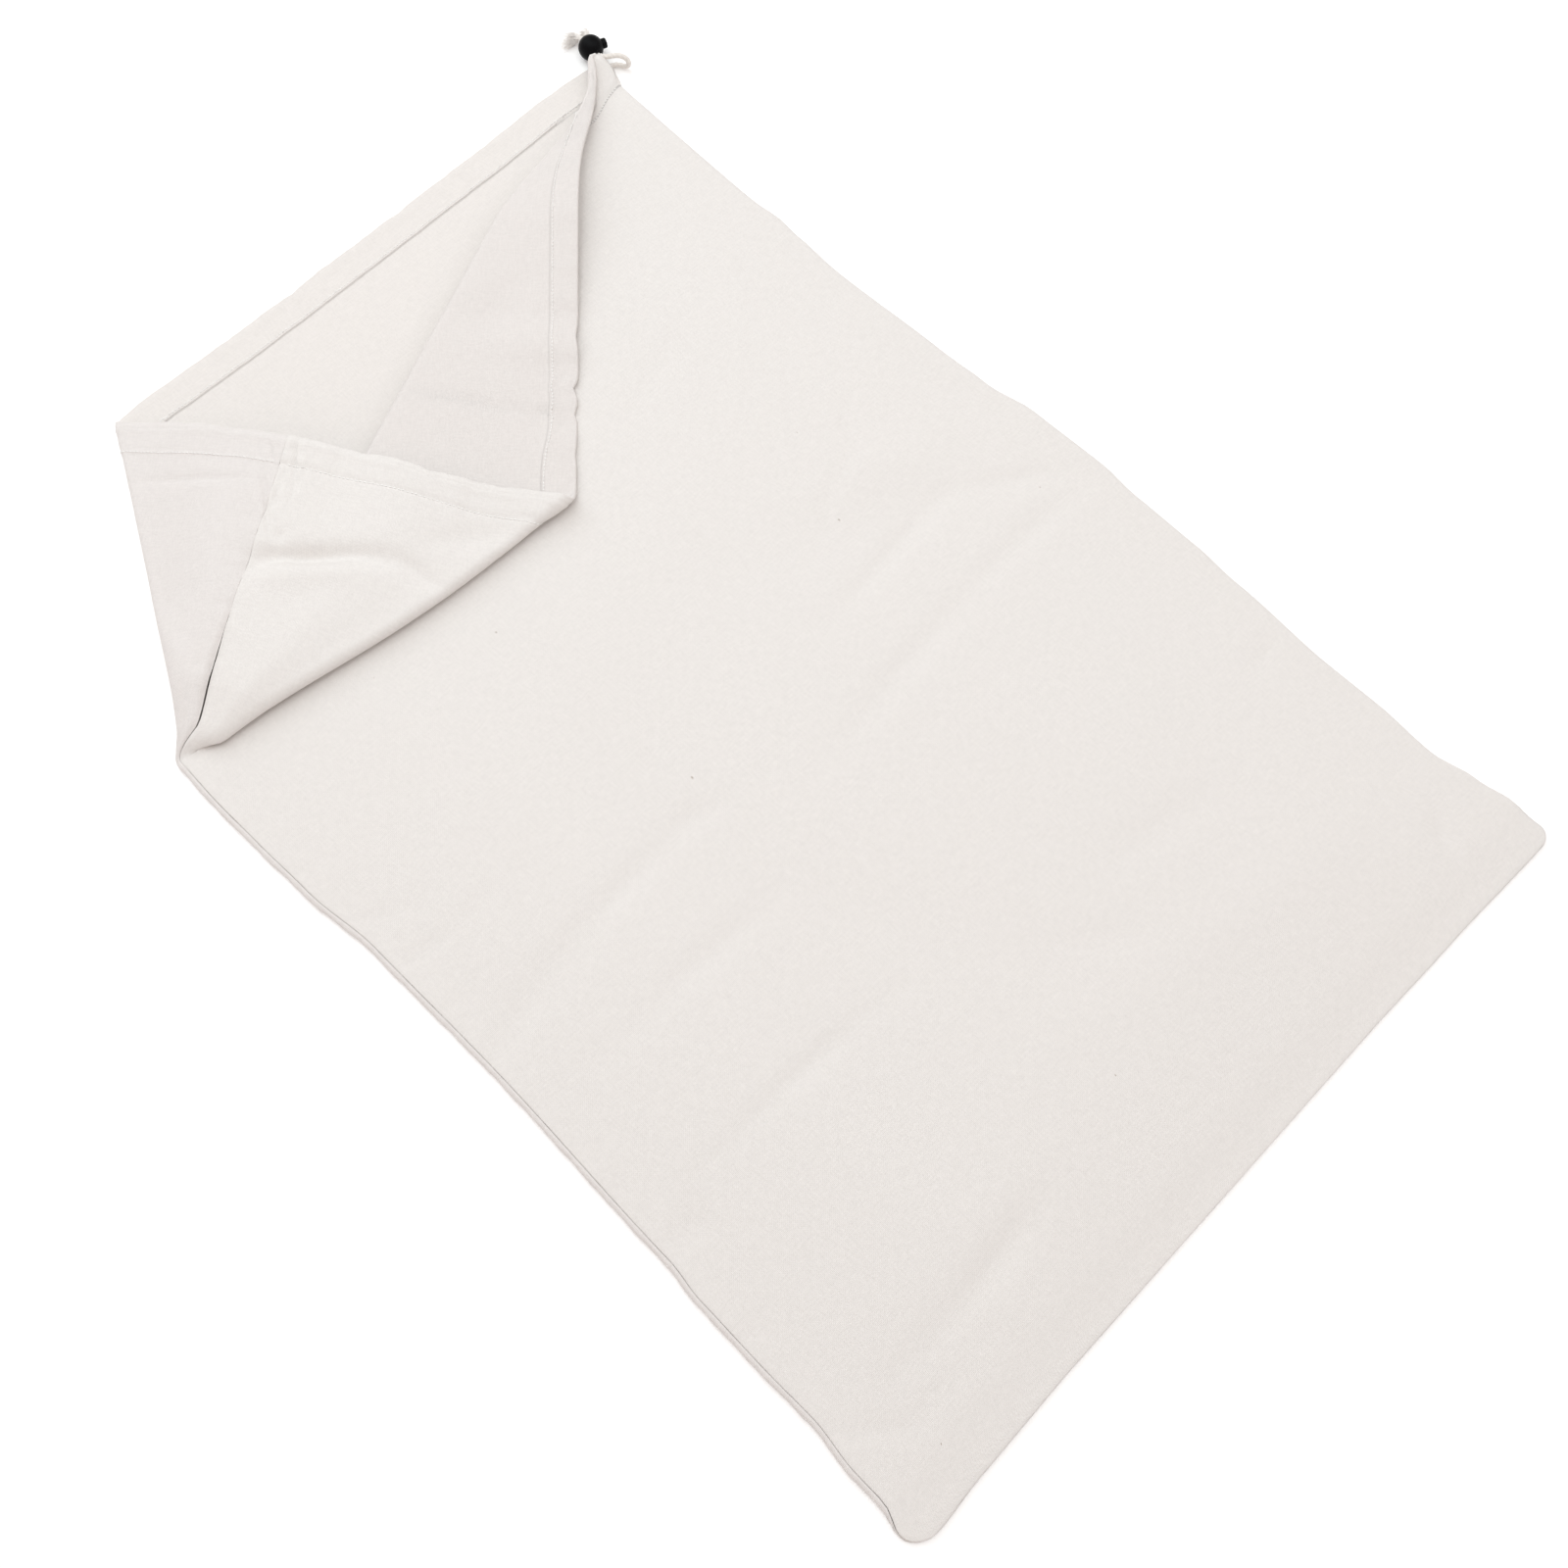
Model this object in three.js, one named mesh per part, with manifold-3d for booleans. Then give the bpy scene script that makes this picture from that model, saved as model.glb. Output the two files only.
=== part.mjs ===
// Canvas laundry bag with a drawcord and cord lock, laid flat, one corner of its mouth folded back.
// Millimetres. x runs from the left seam to the right side, y from the bottom edge to the mouth,
// z up from the table. Cloth is described twice: (u, v) is a place on a flat panel, (x, y, z) is
// where that place lies. Above the pivot P on the left seam the front panel is pleated twice and the
// back panel once, along straight creases that all start at P, as flat cloth folds.

import * as THREE from "three";
import { mergeVertices } from "three/addons/utils/BufferGeometryUtils.js";
import Module from "manifold-3d";

const wasm = await Module();
wasm.setup();

// Bag sizes
const WIDTH = 600; // each panel, seam to seam
const LENGTH = 920; // bottom edge to mouth
const CLOTH = 1.6; // thickness of the canvas
const HEM_DEPTH = 25; // channel for the drawcord, round the mouth
const HEM_EXTRA = 1.4; // turned-in cloth of the hem, on the inner side
const SEAM_GAP = { x: 0.35, y: -0.2 }; // front panel's shift, which parts it from the back panel
const SEAM_SLIT = { at: 26, reach: 34, times: 4.4 }; // the seam gapes above the pivot
const CORNER_SLIT = { at: 20, reach: 18, times: 2.4 }; // and a little at the bottom corners
const LEFT_CORNER = 19; // rounding of the bottom corners
const RIGHT_CORNER = 12;

// Heights of the cloth's middle surface
const FLOOR_LAYER = CLOTH / 2;
const BOTTOM_STACK = FLOOR_LAYER + CLOTH + 0.3; // front panel where it is sewn to the back at the bottom
const SIDE_STACK = 5.4; // front panel along the sides
const LOFT = 5.4; // extra height in the middle of the bag
const LOFT_REACH = 110; // how far in from the edges the loft is reached

// Turned-back corner
const PIVOT = 670; // height of P on the left seam
const RIGHT_TURN = 12; // the first crease meets the mouth this far from its right end
const BACK_CREASE = THREE.MathUtils.degToRad(29); // back panel's crease, measured from the seam above P
const RIM = LENGTH - PIVOT;
const CORNER_ANGLE = Math.atan2(WIDTH, RIM);
const CORNER_RADIUS = Math.hypot(WIDTH, RIM);
const FIRST_CREASE = Math.atan2(WIDTH - RIGHT_TURN, RIM);
const SECOND_CREASE = FIRST_CREASE - BACK_CREASE; // the cloth lies flat only at this angle
const FOLD_RADIUS = 5.6; // of the soft folds, once clear of P
const CORNER_FOLD = ((CORNER_ANGLE - FIRST_CREASE) * CORNER_RADIUS * 2) / Math.PI;
const FOLD_START = { from: 8, to: 30 }; // distance from P over which the folds begin
const SEAM_INSET = 8; // cloth of the other panel that turns over each side before its seam
const SIDE_START = 34; // height at which that turn is whole

// How far the outline strays outward from a straight edge
const LEFT_WAVE = [
  { at: 0, out: 7.5 },
  { at: 75, out: 7 },
  { at: 200, out: 0 },
  { at: 380, out: -4 },
  { at: 545, out: 0 },
  { at: 635, out: 4.7 },
  { at: 700, out: 3.5 },
  { at: 800, out: 0 },
];
const RIGHT_WAVE = [
  { at: 0, out: 2 },
  { at: 30, out: -1 },
  { at: 92, out: -7.5 },
  { at: 180, out: -4.5 },
  { at: 265, out: 0 },
  { at: 400, out: 4.5 },
  { at: 457, out: 6 },
  { at: 500, out: 0 },
  { at: 545, out: -2 },
  { at: 645, out: -5 },
  { at: 735, out: -3 },
  { at: 830, out: 0 },
  { at: 885, out: 0 },
  { at: 908, out: 4 },
  { at: 920, out: 3 },
];
const BOTTOM_WAVE = [
  { at: 0, out: 5 },
  { at: 40, out: 2 },
  { at: 110, out: 0 },
  { at: 420, out: 0 },
  { at: 500, out: 1.2 },
  { at: 600, out: 4 },
];
const MOUTH_WAVE = [
  { at: 140, out: 2 },
  { at: 300, out: 3 },
  { at: 480, out: 3.5 },
  { at: 600, out: 3.2 },
];

// Soft hollows and ridges on top of the bag: centre, heading from +x in degrees, half length,
// half width and height
const CREASES = [
  { x: 470, y: 470, heading: 155, length: 110, width: 26, height: -1.6 },
  { x: 520, y: 500, heading: 165, length: 70, width: 16, height: 1.4 },
  { x: 300, y: 560, heading: 20, length: 130, width: 38, height: 1.3 },
  { x: 190, y: 480, heading: 75, length: 120, width: 34, height: -1.5 },
  { x: 110, y: 400, heading: 60, length: 60, width: 14, height: 1.2 },
  { x: 400, y: 330, heading: 100, length: 140, width: 42, height: 1.2 },
  { x: 260, y: 250, heading: 120, length: 130, width: 36, height: -1.3 },
  { x: 480, y: 190, heading: 60, length: 90, width: 26, height: -1.4 },
  { x: 130, y: 190, heading: 95, length: 100, width: 24, height: 1.1 },
  { x: 360, y: 120, heading: 170, length: 120, width: 24, height: 1.2 },
  { x: 550, y: 300, heading: 90, length: 90, width: 14, height: -1.1 },
  { x: 60, y: 560, heading: 80, length: 70, width: 16, height: -1 },
  { x: 500, y: 680, heading: 110, length: 120, width: 30, height: 1.3 },
  { x: 560, y: 800, heading: 95, length: 80, width: 16, height: -1 },
];

// Puckers where the hem was stitched: place along the mouth from the left seam, half width, height
const PUCKERS = [
  { at: 38, width: 15, height: -3.2 },
  { at: 78, width: 17, height: 1.6 },
  { at: 132, width: 20, height: -1.3 },
  { at: 182, width: 14, height: 1.7 },
  { at: 262, width: 20, height: -1.8 },
  { at: 322, width: 12, height: 2.6 },
  { at: 350, width: 12, height: -2.2 },
  { at: 430, width: 26, height: 1.6 },
  { at: 500, width: 22, height: -1.2 },
];
const PUCKER_REACH = 70; // how far a pucker runs in from the mouth

// Panel mesh: distances from P for the first columns, then shares of the distance to the rim
const PIVOT_COLUMNS = [8.5, 11, 14, 17, 20, 23, 27, 32, 40];
const FRONT_NEAR = [0, 4, ...PIVOT_COLUMNS];
const BACK_NEAR = [0, 1.5, 3.2, 4.9, 6.6, ...PIVOT_COLUMNS];
const HEM_SHARES = [1 - HEM_DEPTH / RIM, 1 - HEM_DEPTH / RIM + 0.006, 0.955];
const SIDE_SHARES = [0.987, 0.9898, 0.9928, 0.9958, 0.9988, 1];
const FRONT_SHARES = [0.26, 0.36, 0.47, 0.58, 0.69, 0.8, ...HEM_SHARES, ...SIDE_SHARES];
const BACK_SHARES = [0.26, 0.38, 0.5, 0.65, 0.8, ...HEM_SHARES, 1];
const FLAT_ROWS = [
  0, 1.5, 5, 10, 18, 40, 70, 100, 140, 180, 220, 260, 300, 340, 380, 420, 450, 475, 500, 530, 560, 590, 620,
  645, 660, PIVOT,
];

// Cord lock: a ball with a sprung button, lying beside the right end of the mouth
const BALL = { x: 610, y: 931.5, radius: 10 };
const CORD_HEADING = new THREE.Vector3(0.35, 0.937, 0).normalize();
const BUTTON_HEADING = new THREE.Vector3(CORD_HEADING.y, -CORD_HEADING.x, 0);
const CORD = 4; // diameter of the drawcord
const CORD_SPACING = 2.15; // each strand's distance from the ball's middle
const RUNNING_GAP = 0.35;
const BUTTON = { radius: 4, inner: 6, reach: 13, travel: 2 };

// Colours
const CANVAS_OUTSIDE = 0xeae5df;
const CANVAS_INSIDE = 0xeee6dc;
const COTTON = 0xf1ebe2;
const BLACK_PLASTIC = 0x17161a;

const clamp01 = (t) => Math.min(Math.max(t, 0), 1);
const mix = (a, b, t) => a + (b - a) * t;
const smooth = (from, to, value) => {
  const t = clamp01((value - from) / (to - from));
  return t * t * (3 - 2 * t);
};

// Smooth line through the rows of a wave table.
function waveAt(wave, place) {
  const next = wave.findIndex((row) => row.at >= place);
  if (next === 0) return wave[0].out;
  if (next < 0) return wave[wave.length - 1].out;
  const [a, b] = [wave[next - 1], wave[next]];
  return mix(a.out, b.out, smooth(a.at, b.at, place));
}

// Distance that a rounded corner takes off the outline at this height.
function cornerInset(radius, y) {
  const drop = radius - Math.min(Math.max(y, 0), radius);
  return radius - Math.sqrt(radius * radius - drop * drop);
}

// Moves a place of the straight-edged bag to the real, uneven outline.
function unevenPlace(x, y) {
  const across = clamp01(x / WIDTH);
  const up = clamp01(y / LENGTH);
  const left = cornerInset(LEFT_CORNER, y) - waveAt(LEFT_WAVE, y);
  const right = waveAt(RIGHT_WAVE, y) - cornerInset(RIGHT_CORNER, y);
  const bottom = -waveAt(BOTTOM_WAVE, x);
  const mouth = waveAt(MOUTH_WAVE, x);
  return [
    x + left * (1 - smooth(0, 0.6, across)) + right * smooth(0.4, 1, across),
    y + bottom * (1 - smooth(0, 0.3, up)) + mouth * smooth(0.8, 1, up),
  ];
}

// Height of the front panel where it lies on the bag, and of the ground under its turned corner.
function topHeight(x, y) {
  const edge = mix(BOTTOM_STACK, SIDE_STACK, smooth(0, 40, y));
  const inside = smooth(0, LOFT_REACH, x) * smooth(0, LOFT_REACH, WIDTH - x) * smooth(0, LOFT_REACH, y);
  let creased = 0;
  for (const crease of CREASES) {
    const turn = THREE.MathUtils.degToRad(crease.heading);
    const along = ((x - crease.x) * Math.cos(turn) + (y - crease.y) * Math.sin(turn)) / crease.length;
    const across = ((y - crease.y) * Math.cos(turn) - (x - crease.x) * Math.sin(turn)) / crease.width;
    creased += crease.height * Math.exp(-along * along - across * across);
  }
  return edge + (LOFT + creased) * inside;
}

// A strip of cloth folded over: s runs towards the crease from the flat side and on past it.
// along is where the cloth then lies on the flat side's line, lift runs from 0 below to 1 on top.
function foldOver(s, crease, reach) {
  const turn = Math.PI * clamp01((crease + reach - s) / (2 * reach));
  let along = crease + reach - (2 / Math.PI) * reach * Math.sin(turn);
  if (turn === 0) along = s;
  if (turn === Math.PI) along = 2 * crease - s;
  return { along, lift: (1 - Math.cos(turn)) / 2 };
}

// Half the cloth that a round turn takes up to climb this far.
const turnReach = (rise) => (Math.PI * rise) / 4;

// How far the two folds of the front panel climb, at a distance from P.
const foldStart = (rho) => 0.05 * rho + 1.9 * smooth(4, 22, rho);
const firstRise = (rho) => {
  const radius = mix(FOLD_RADIUS, CORNER_FOLD, smooth(380, CORNER_RADIUS, rho));
  return 2 * Math.min(foldStart(rho), radius);
};
const secondRise = (rho) => 2 * Math.min(foldStart(rho), FOLD_RADIUS);
const begun = (rho) => smooth(FOLD_START.from, FOLD_START.to, rho);

// Height of the flap's middle surface over a place, rho from P.
const flapHeight = (x, y, rho) => topHeight(x, y) + firstRise(rho) + secondRise(rho);

// Rise and fall of the hem's puckers at a place on a panel.
function pucker(u, v) {
  const fromMouth = (LENGTH - v) / PUCKER_REACH;
  if (fromMouth > 2) return 0;
  let height = 0;
  for (const row of PUCKERS) height += row.height * Math.exp(-(((u - row.at) / row.width) ** 2));
  return height * Math.exp(-fromMouth * fromMouth) * (1 - smooth(1.5, 2, fromMouth));
}

const polar = (u, v) => ({ rho: Math.max(Math.hypot(u, v - PIVOT), 1e-6), psi: Math.atan2(u, v - PIVOT) });

// The turn of the cloth over a side of the bag, s from its seam. The seams lie clear of the edges,
// the left one on top and the right one underneath, but run out to them at the bottom corners.
function sideTurn(s, v) {
  const reach = turnReach(topHeight(SEAM_INSET, v) - FLOOR_LAYER);
  return foldOver(s, mix(-reach, SEAM_INSET / 2, smooth(0, SIDE_START, v)), reach);
}

// Where a place on the front panel lies while the bag is flat.
function frontFlat(u, v) {
  const side = sideTurn(WIDTH - u, v);
  const x = sideTurn(0, v).along + WIDTH - side.along;
  return new THREE.Vector3(x, v, mix(topHeight(x, v), FLOOR_LAYER, side.lift));
}

// The same with the corner turned back: on the bag, turned over with its inside up, or turned over twice.
function frontFolded(u, v) {
  const { rho, psi } = polar(u, v);
  const first = foldOver(rho * psi, rho * FIRST_CREASE, turnReach(firstRise(rho)));
  const second = foldOver(rho * psi, rho * SECOND_CREASE, turnReach(secondRise(rho)));
  const pastSecond = psi < (FIRST_CREASE + SECOND_CREASE) / 2;
  const angle = (pastSecond ? 2 * rho * FIRST_CREASE - second.along : first.along) / rho;
  const x = SEAM_INSET + rho * Math.sin(angle);
  const y = PIVOT + rho * Math.cos(angle);
  const climbed = firstRise(rho) * first.lift + secondRise(rho) * second.lift;
  return new THREE.Vector3(x, y, topHeight(x, y) + climbed + pucker(u, v) * first.lift);
}

function frontPlace(u, v) {
  const { rho, psi } = polar(u, v);
  const place = frontFlat(u, v);
  const turnsBack = v > PIVOT && WIDTH - u > SEAM_INSET;
  if (turnsBack) place.lerp(frontFolded(u, v), begun(rho));
  const [x, y] = unevenPlace(place.x, place.y);
  const onFlap = turnsBack ? smooth(SECOND_CREASE, 0.5 * SECOND_CREASE, psi) * begun(rho) : 0;
  const gape = Math.exp(-(((rho - SEAM_SLIT.at) / SEAM_SLIT.reach) ** 2)) * onFlap;
  const atCorner = Math.exp(-(((v - CORNER_SLIT.at) / CORNER_SLIT.reach) ** 2));
  const parting = 1 + (SEAM_SLIT.times - 1) * gape + (CORNER_SLIT.times - 1) * atCorner;
  return new THREE.Vector3(x + SEAM_GAP.x * parting, y + SEAM_GAP.y * parting * onFlap, place.z);
}

// Where a place on the back panel lies while the bag is flat.
function backFlat(u, v) {
  const side = sideTurn(u, v);
  return new THREE.Vector3(side.along, v, mix(FLOOR_LAYER, topHeight(side.along, v), side.lift));
}

// Half the cloth in the turn of the back panel's crease, which climbs to the flap's seam.
function backReach(rho) {
  const seam = 2 * BACK_CREASE;
  const height = flapHeight(SEAM_INSET + rho * Math.sin(seam), PIVOT + rho * Math.cos(seam), rho);
  return Math.min(turnReach(height - FLOOR_LAYER), 0.95 * rho * BACK_CREASE);
}

// The same with the corner turned back over the front panel's.
function backFolded(u, v) {
  const { rho, psi } = polar(u, v);
  const fold = foldOver(rho * psi, rho * BACK_CREASE, backReach(rho));
  const x = SEAM_INSET * fold.lift + rho * Math.sin(fold.along / rho);
  const y = PIVOT + rho * Math.cos(fold.along / rho);
  return new THREE.Vector3(x, y, mix(FLOOR_LAYER, flapHeight(x, y, rho) + pucker(u, v), fold.lift));
}

function backPlace(u, v) {
  const place = backFlat(u, v);
  if (v > PIVOT) place.lerp(backFolded(u, v), begun(polar(u, v).rho));
  const [x, y] = unevenPlace(place.x, place.y);
  return new THREE.Vector3(x, y, place.z);
}

const outerHalf = () => CLOTH / 2;
const innerHalf = ({ u, v }) => {
  const inHem = smooth(LENGTH - HEM_DEPTH, LENGTH - HEM_DEPTH + 1.5, v);
  return CLOTH / 2 + HEM_EXTRA * inHem * smooth(0, 2 * SEAM_INSET, WIDTH - u);
};

// Distance from P to the panel's rim at an angle from the seam above P.
const rimDistance = (psi) => Math.min(WIDTH / Math.sin(psi), RIM / Math.max(Math.cos(psi), 1e-9));

const columnRadius = (column, end) => (column.near === undefined ? column.share * end : column.near);
const columnsOf = (nears, shares) => [
  ...nears.map((near) => ({ near })),
  ...shares.map((share) => ({ share })),
];

const flatRow = (v) => (column) => ({ u: columnRadius(column, WIDTH), v });

// A row above the pivot follows a heading that may change with the distance from P.
function rayRow(heading) {
  let end = RIM;
  for (let step = 0; step < 12; step++) end = rimDistance(heading(end));
  return (column) => {
    const radius = columnRadius(column, end);
    const angle = radius > 0 ? heading(radius) : 0;
    return { u: radius * Math.sin(angle), v: PIVOT + radius * Math.cos(angle) };
  };
}

// Headings from one side of a fold to the other, closer together than the flat cloth's.
const acrossFold = (crease, reach, steps) =>
  steps.map((step) => (rho) => crease + (step * reach(rho)) / rho);

// The rows that end on the right side, alike on both panels so that its seam stays parted.
const SIDE_STEPS = [0.25, 0.5, 0.72, 0.84, 0.91, 0.96];

// Headings that share out the angle between two others.
const between = (start, end, shares) => shares.map((share) => (rho) => mix(start(rho), end(rho), share));

function frontHeadings() {
  const firstReach = (rho) => turnReach(firstRise(rho));
  const secondReach = (rho) => turnReach(secondRise(rho));
  const turnSteps = [1, 0.66, 0.33, 0, -0.33, -0.66, -1];
  const first = acrossFold(FIRST_CREASE, firstReach, turnSteps);
  const second = acrossFold(SECOND_CREASE, secondReach, turnSteps);
  return [
    ...between(() => Math.PI / 2, first[0], SIDE_STEPS),
    ...first,
    ...between(first[first.length - 1], second[0], [0.25, 0.5, 0.75]),
    ...second,
    ...between(second[second.length - 1], () => 0, [0.17, 0.34, 0.5, 0.67, 0.84, 1]),
  ];
}

function backHeadings() {
  const fold = acrossFold(BACK_CREASE, backReach, [1, 0.8, 0.55, 0.3, 0, -0.3, -0.55, -0.8, -1]);
  const corner = () => CORNER_ANGLE;
  return [
    ...between(() => Math.PI / 2, corner, [...SIDE_STEPS, 1]),
    ...between(corner, fold[0], [0.33, 0.67]),
    ...fold,
    ...between(fold[fold.length - 1], () => 0, [0.5, 1]),
  ];
}

// Closed solid of a cloth panel: the grid's two faces, half a thickness either side of its middle
// surface, and a rim round its edge. The rows above the pivot all start at P.
function panelGeometry(headings, columns, place, above, below) {
  const rows = [...FLAT_ROWS.map(flatRow), ...headings.map(rayRow)];
  const spots = rows.flatMap((row) => columns.map((column) => row(column)));
  const middle = spots.map(({ u, v }) => place(u, v));
  const pivotRow = FLAT_ROWS.length - 1;
  const vertex = (i, j) => (j === 0 ? Math.min(i, pivotRow) : i) * columns.length + j;
  const faces = [];
  for (let i = 0; i + 1 < rows.length; i++)
    for (let j = 0; j + 1 < columns.length; j++) {
      const [a, b, c, d] = [vertex(i, j), vertex(i, j + 1), vertex(i + 1, j + 1), vertex(i + 1, j)];
      faces.push([a, b, c]);
      if (d !== a) faces.push([a, c, d]);
    }
  const skin = new THREE.BufferGeometry().setFromPoints(middle);
  skin.setIndex(faces.flat());
  skin.computeVertexNormals();
  const normals = skin.getAttribute("normal");
  const shifted = (side) =>
    middle.map((point, i) => {
      const normal = new THREE.Vector3().fromBufferAttribute(normals, i);
      return point.clone().addScaledVector(normal, side(spots[i]));
    });
  const points = [...shifted(above), ...shifted((spot) => -below(spot))];
  const under = middle.length;
  const edges = new Set(faces.flatMap(([a, b, c]) => [`${a} ${b}`, `${b} ${c}`, `${c} ${a}`]));
  const index = faces.flatMap(([a, b, c]) => [a, b, c, under + a, under + c, under + b]);
  for (const edge of edges) {
    const [a, b] = edge.split(" ").map(Number);
    if (!edges.has(`${b} ${a}`)) index.push(b, a, under + a, b, under + a, under + b);
  }
  return new THREE.BufferGeometry().setFromPoints(points).setIndex(index);
}

const frontPanel = () =>
  panelGeometry(frontHeadings(), columnsOf(FRONT_NEAR, FRONT_SHARES), frontPlace, outerHalf, innerHalf);
const backPanel = () =>
  panelGeometry(backHeadings(), columnsOf(BACK_NEAR, BACK_SHARES), backPlace, innerHalf, outerHalf);

// Solid for cutting and joining, made from a closed geometry.
function solidOf(geometry) {
  const bare = geometry.clone();
  bare.deleteAttribute("normal");
  bare.deleteAttribute("uv");
  const merged = mergeVertices(bare, 1e-4);
  return new wasm.Manifold(
    new wasm.Mesh({
      numProp: 3,
      vertProperties: new Float32Array(merged.getAttribute("position").array),
      triVerts: new Uint32Array(merged.index.array),
    }),
  );
}

function geometryOf(solid) {
  const mesh = solid.getMesh();
  return new THREE.BufferGeometry()
    .setAttribute("position", new THREE.BufferAttribute(mesh.vertProperties, 3))
    .setIndex(new THREE.BufferAttribute(mesh.triVerts, 1));
}

const circle = (radius, sides) =>
  new THREE.Shape(
    Array.from({ length: sides }, (_, i) => {
      const angle = (2 * Math.PI * i) / sides;
      return new THREE.Vector2(radius * Math.cos(angle), radius * Math.sin(angle));
    }),
  );

// Places a geometry so that its x runs along the button's heading and its y along the cord's.
const lockFrame = new THREE.Matrix4()
  .makeBasis(BUTTON_HEADING, CORD_HEADING, new THREE.Vector3(0, 0, 1))
  .setPosition(BALL.x, BALL.y, BALL.radius);

// A round bar along the button's heading.
function buttonBar(radius, from, to) {
  const bar = new THREE.CylinderGeometry(radius, radius, to - from, 32);
  return bar.rotateZ(-Math.PI / 2).translate((from + to) / 2, 0, 0);
}

// A flat slot with round ends that the two strands pass through, from one side to the other.
function cordSlot(from, to, height, depth) {
  const round = height / 2;
  const outline = new THREE.Shape();
  outline.absarc(to - round, 0, round, -Math.PI / 2, Math.PI / 2);
  outline.absarc(from + round, 0, round, Math.PI / 2, (3 * Math.PI) / 2);
  const slot = new THREE.ExtrudeGeometry(outline, { depth, bevelEnabled: false, curveSegments: 8 });
  return slot.rotateX(Math.PI / 2).translate(0, depth / 2, 0);
}

const strandSide = CORD_SPACING + CORD / 2 + RUNNING_GAP;

function lockBody() {
  const ball = solidOf(new THREE.SphereGeometry(BALL.radius, 32, 18));
  const boreEnd = BUTTON.inner + BUTTON.travel + RUNNING_GAP;
  const bore = solidOf(buttonBar(BUTTON.radius + RUNNING_GAP, -boreEnd, 2 * BALL.radius));
  const slot = solidOf(cordSlot(-strandSide, strandSide, CORD + 2 * RUNNING_GAP, 3 * BALL.radius));
  return geometryOf(ball.subtract(bore).subtract(slot)).applyMatrix4(lockFrame);
}

// The button's slot is long enough for its travel: at rest its inner end holds the strands.
function lockButton() {
  const rim = 0.8;
  const half = [
    { r: 0, x: -BUTTON.inner },
    { r: BUTTON.radius, x: -BUTTON.inner },
    { r: BUTTON.radius, x: BUTTON.reach - rim },
    { r: BUTTON.radius - rim / 3, x: BUTTON.reach - rim / 3 },
    { r: BUTTON.radius - rim, x: BUTTON.reach },
    { r: 0, x: BUTTON.reach },
  ];
  const profile = half.map(({ r, x }) => new THREE.Vector2(r, x));
  const bar = solidOf(new THREE.LatheGeometry(profile, 32).rotateZ(-Math.PI / 2));
  const slotEnd = strandSide + BUTTON.travel;
  const slot = solidOf(cordSlot(-strandSide, slotEnd, CORD + 2 * RUNNING_GAP, 3 * BALL.radius));
  return geometryOf(bar.subtract(slot)).applyMatrix4(lockFrame);
}

// Drawcord strands, from the hem's end through the cord lock to where each is frayed: places on the
// bag, and in the lock by their distance along the button and along the cord from the ball's middle
const at = (x, y, z) => new THREE.Vector3(x, y, z);
const inLock = (button, cord, z) => at(button, cord, z - BALL.radius).applyMatrix4(lockFrame);
const STRANDS = [
  {
    name: "cord_straight",
    route: [
      at(606.2, 903.2, 8),
      at(606.8, 906, 8.1),
      at(607, 908.8, 8.2),
      at(606.7, 911.6, 8.4),
      at(606.1, 914.4, 8.8),
      at(605.2, 917.9, 9.4),
      at(604.7, 921.3, 9.9),
      inLock(-CORD_SPACING, -8.2, 10),
      inLock(-CORD_SPACING, -4, 10),
      inLock(-CORD_SPACING, 0, 10),
      inLock(-CORD_SPACING, 4, 10),
      inLock(-CORD_SPACING, 8, 9.9),
      at(611.6, 943, 9.4),
      at(611.7, 946, 8.5),
      at(611.2, 948.8, 7.5),
    ],
  },
  {
    name: "cord_looped",
    route: [
      at(608.9, 911.9, 2.8),
      at(612.6, 912.2, 2.6),
      at(616, 910.8, 2.5),
      at(618.7, 908, 2.5),
      at(620, 904.5, 3),
      at(620.5, 901.3, 5),
      at(620.7, 899.5, 8.3),
      at(620.2, 899.5, 12),
      at(618.7, 901.1, 15.2),
      at(616.4, 903.9, 16.9),
      at(613.9, 907.1, 16.7),
      at(611.2, 910.8, 15.2),
      at(609.3, 914.6, 13.5),
      at(608.8, 918.5, 11.6),
      inLock(CORD_SPACING, -9.6, 10.2),
      inLock(CORD_SPACING, -5, 10),
      inLock(CORD_SPACING, 0, 10),
      inLock(CORD_SPACING, 4, 10),
      inLock(CORD_SPACING, 8, 9.9),
      at(616, 941.8, 9.4),
      at(617, 944.8, 8.5),
    ],
  },
];

function cordGeometry(route) {
  const path = new THREE.CatmullRomCurve3(route, false, "centripetal");
  return new THREE.ExtrudeGeometry(circle(CORD / 2, 10), { steps: 26, extrudePath: path });
}

// Frayed ends: how far each tuft runs, how wide it opens and how many yarns stand out
const TUFTS = [
  { name: "tuft_straight", strand: 0, length: 11, opening: 0.62, yarns: 20 },
  { name: "tuft_looped", strand: 1, length: 8, opening: 0.5, yarns: 15 },
];
const HEAD = { length: 3.4, end: 2.64 }; // fused turn that the yarns grow from, and its end's radius
const YARN = 0.55; // radius of a yarn at its root
const YARN_RING = 1.44; // how far the outermost yarns' roots are from the middle
const YARN_START = 1; // how deep in the fused turn they start
const YARN_SAG = 2.2; // how far their tips sink
const GOLDEN_ANGLE = Math.PI * (3 - Math.sqrt(5));

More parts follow.
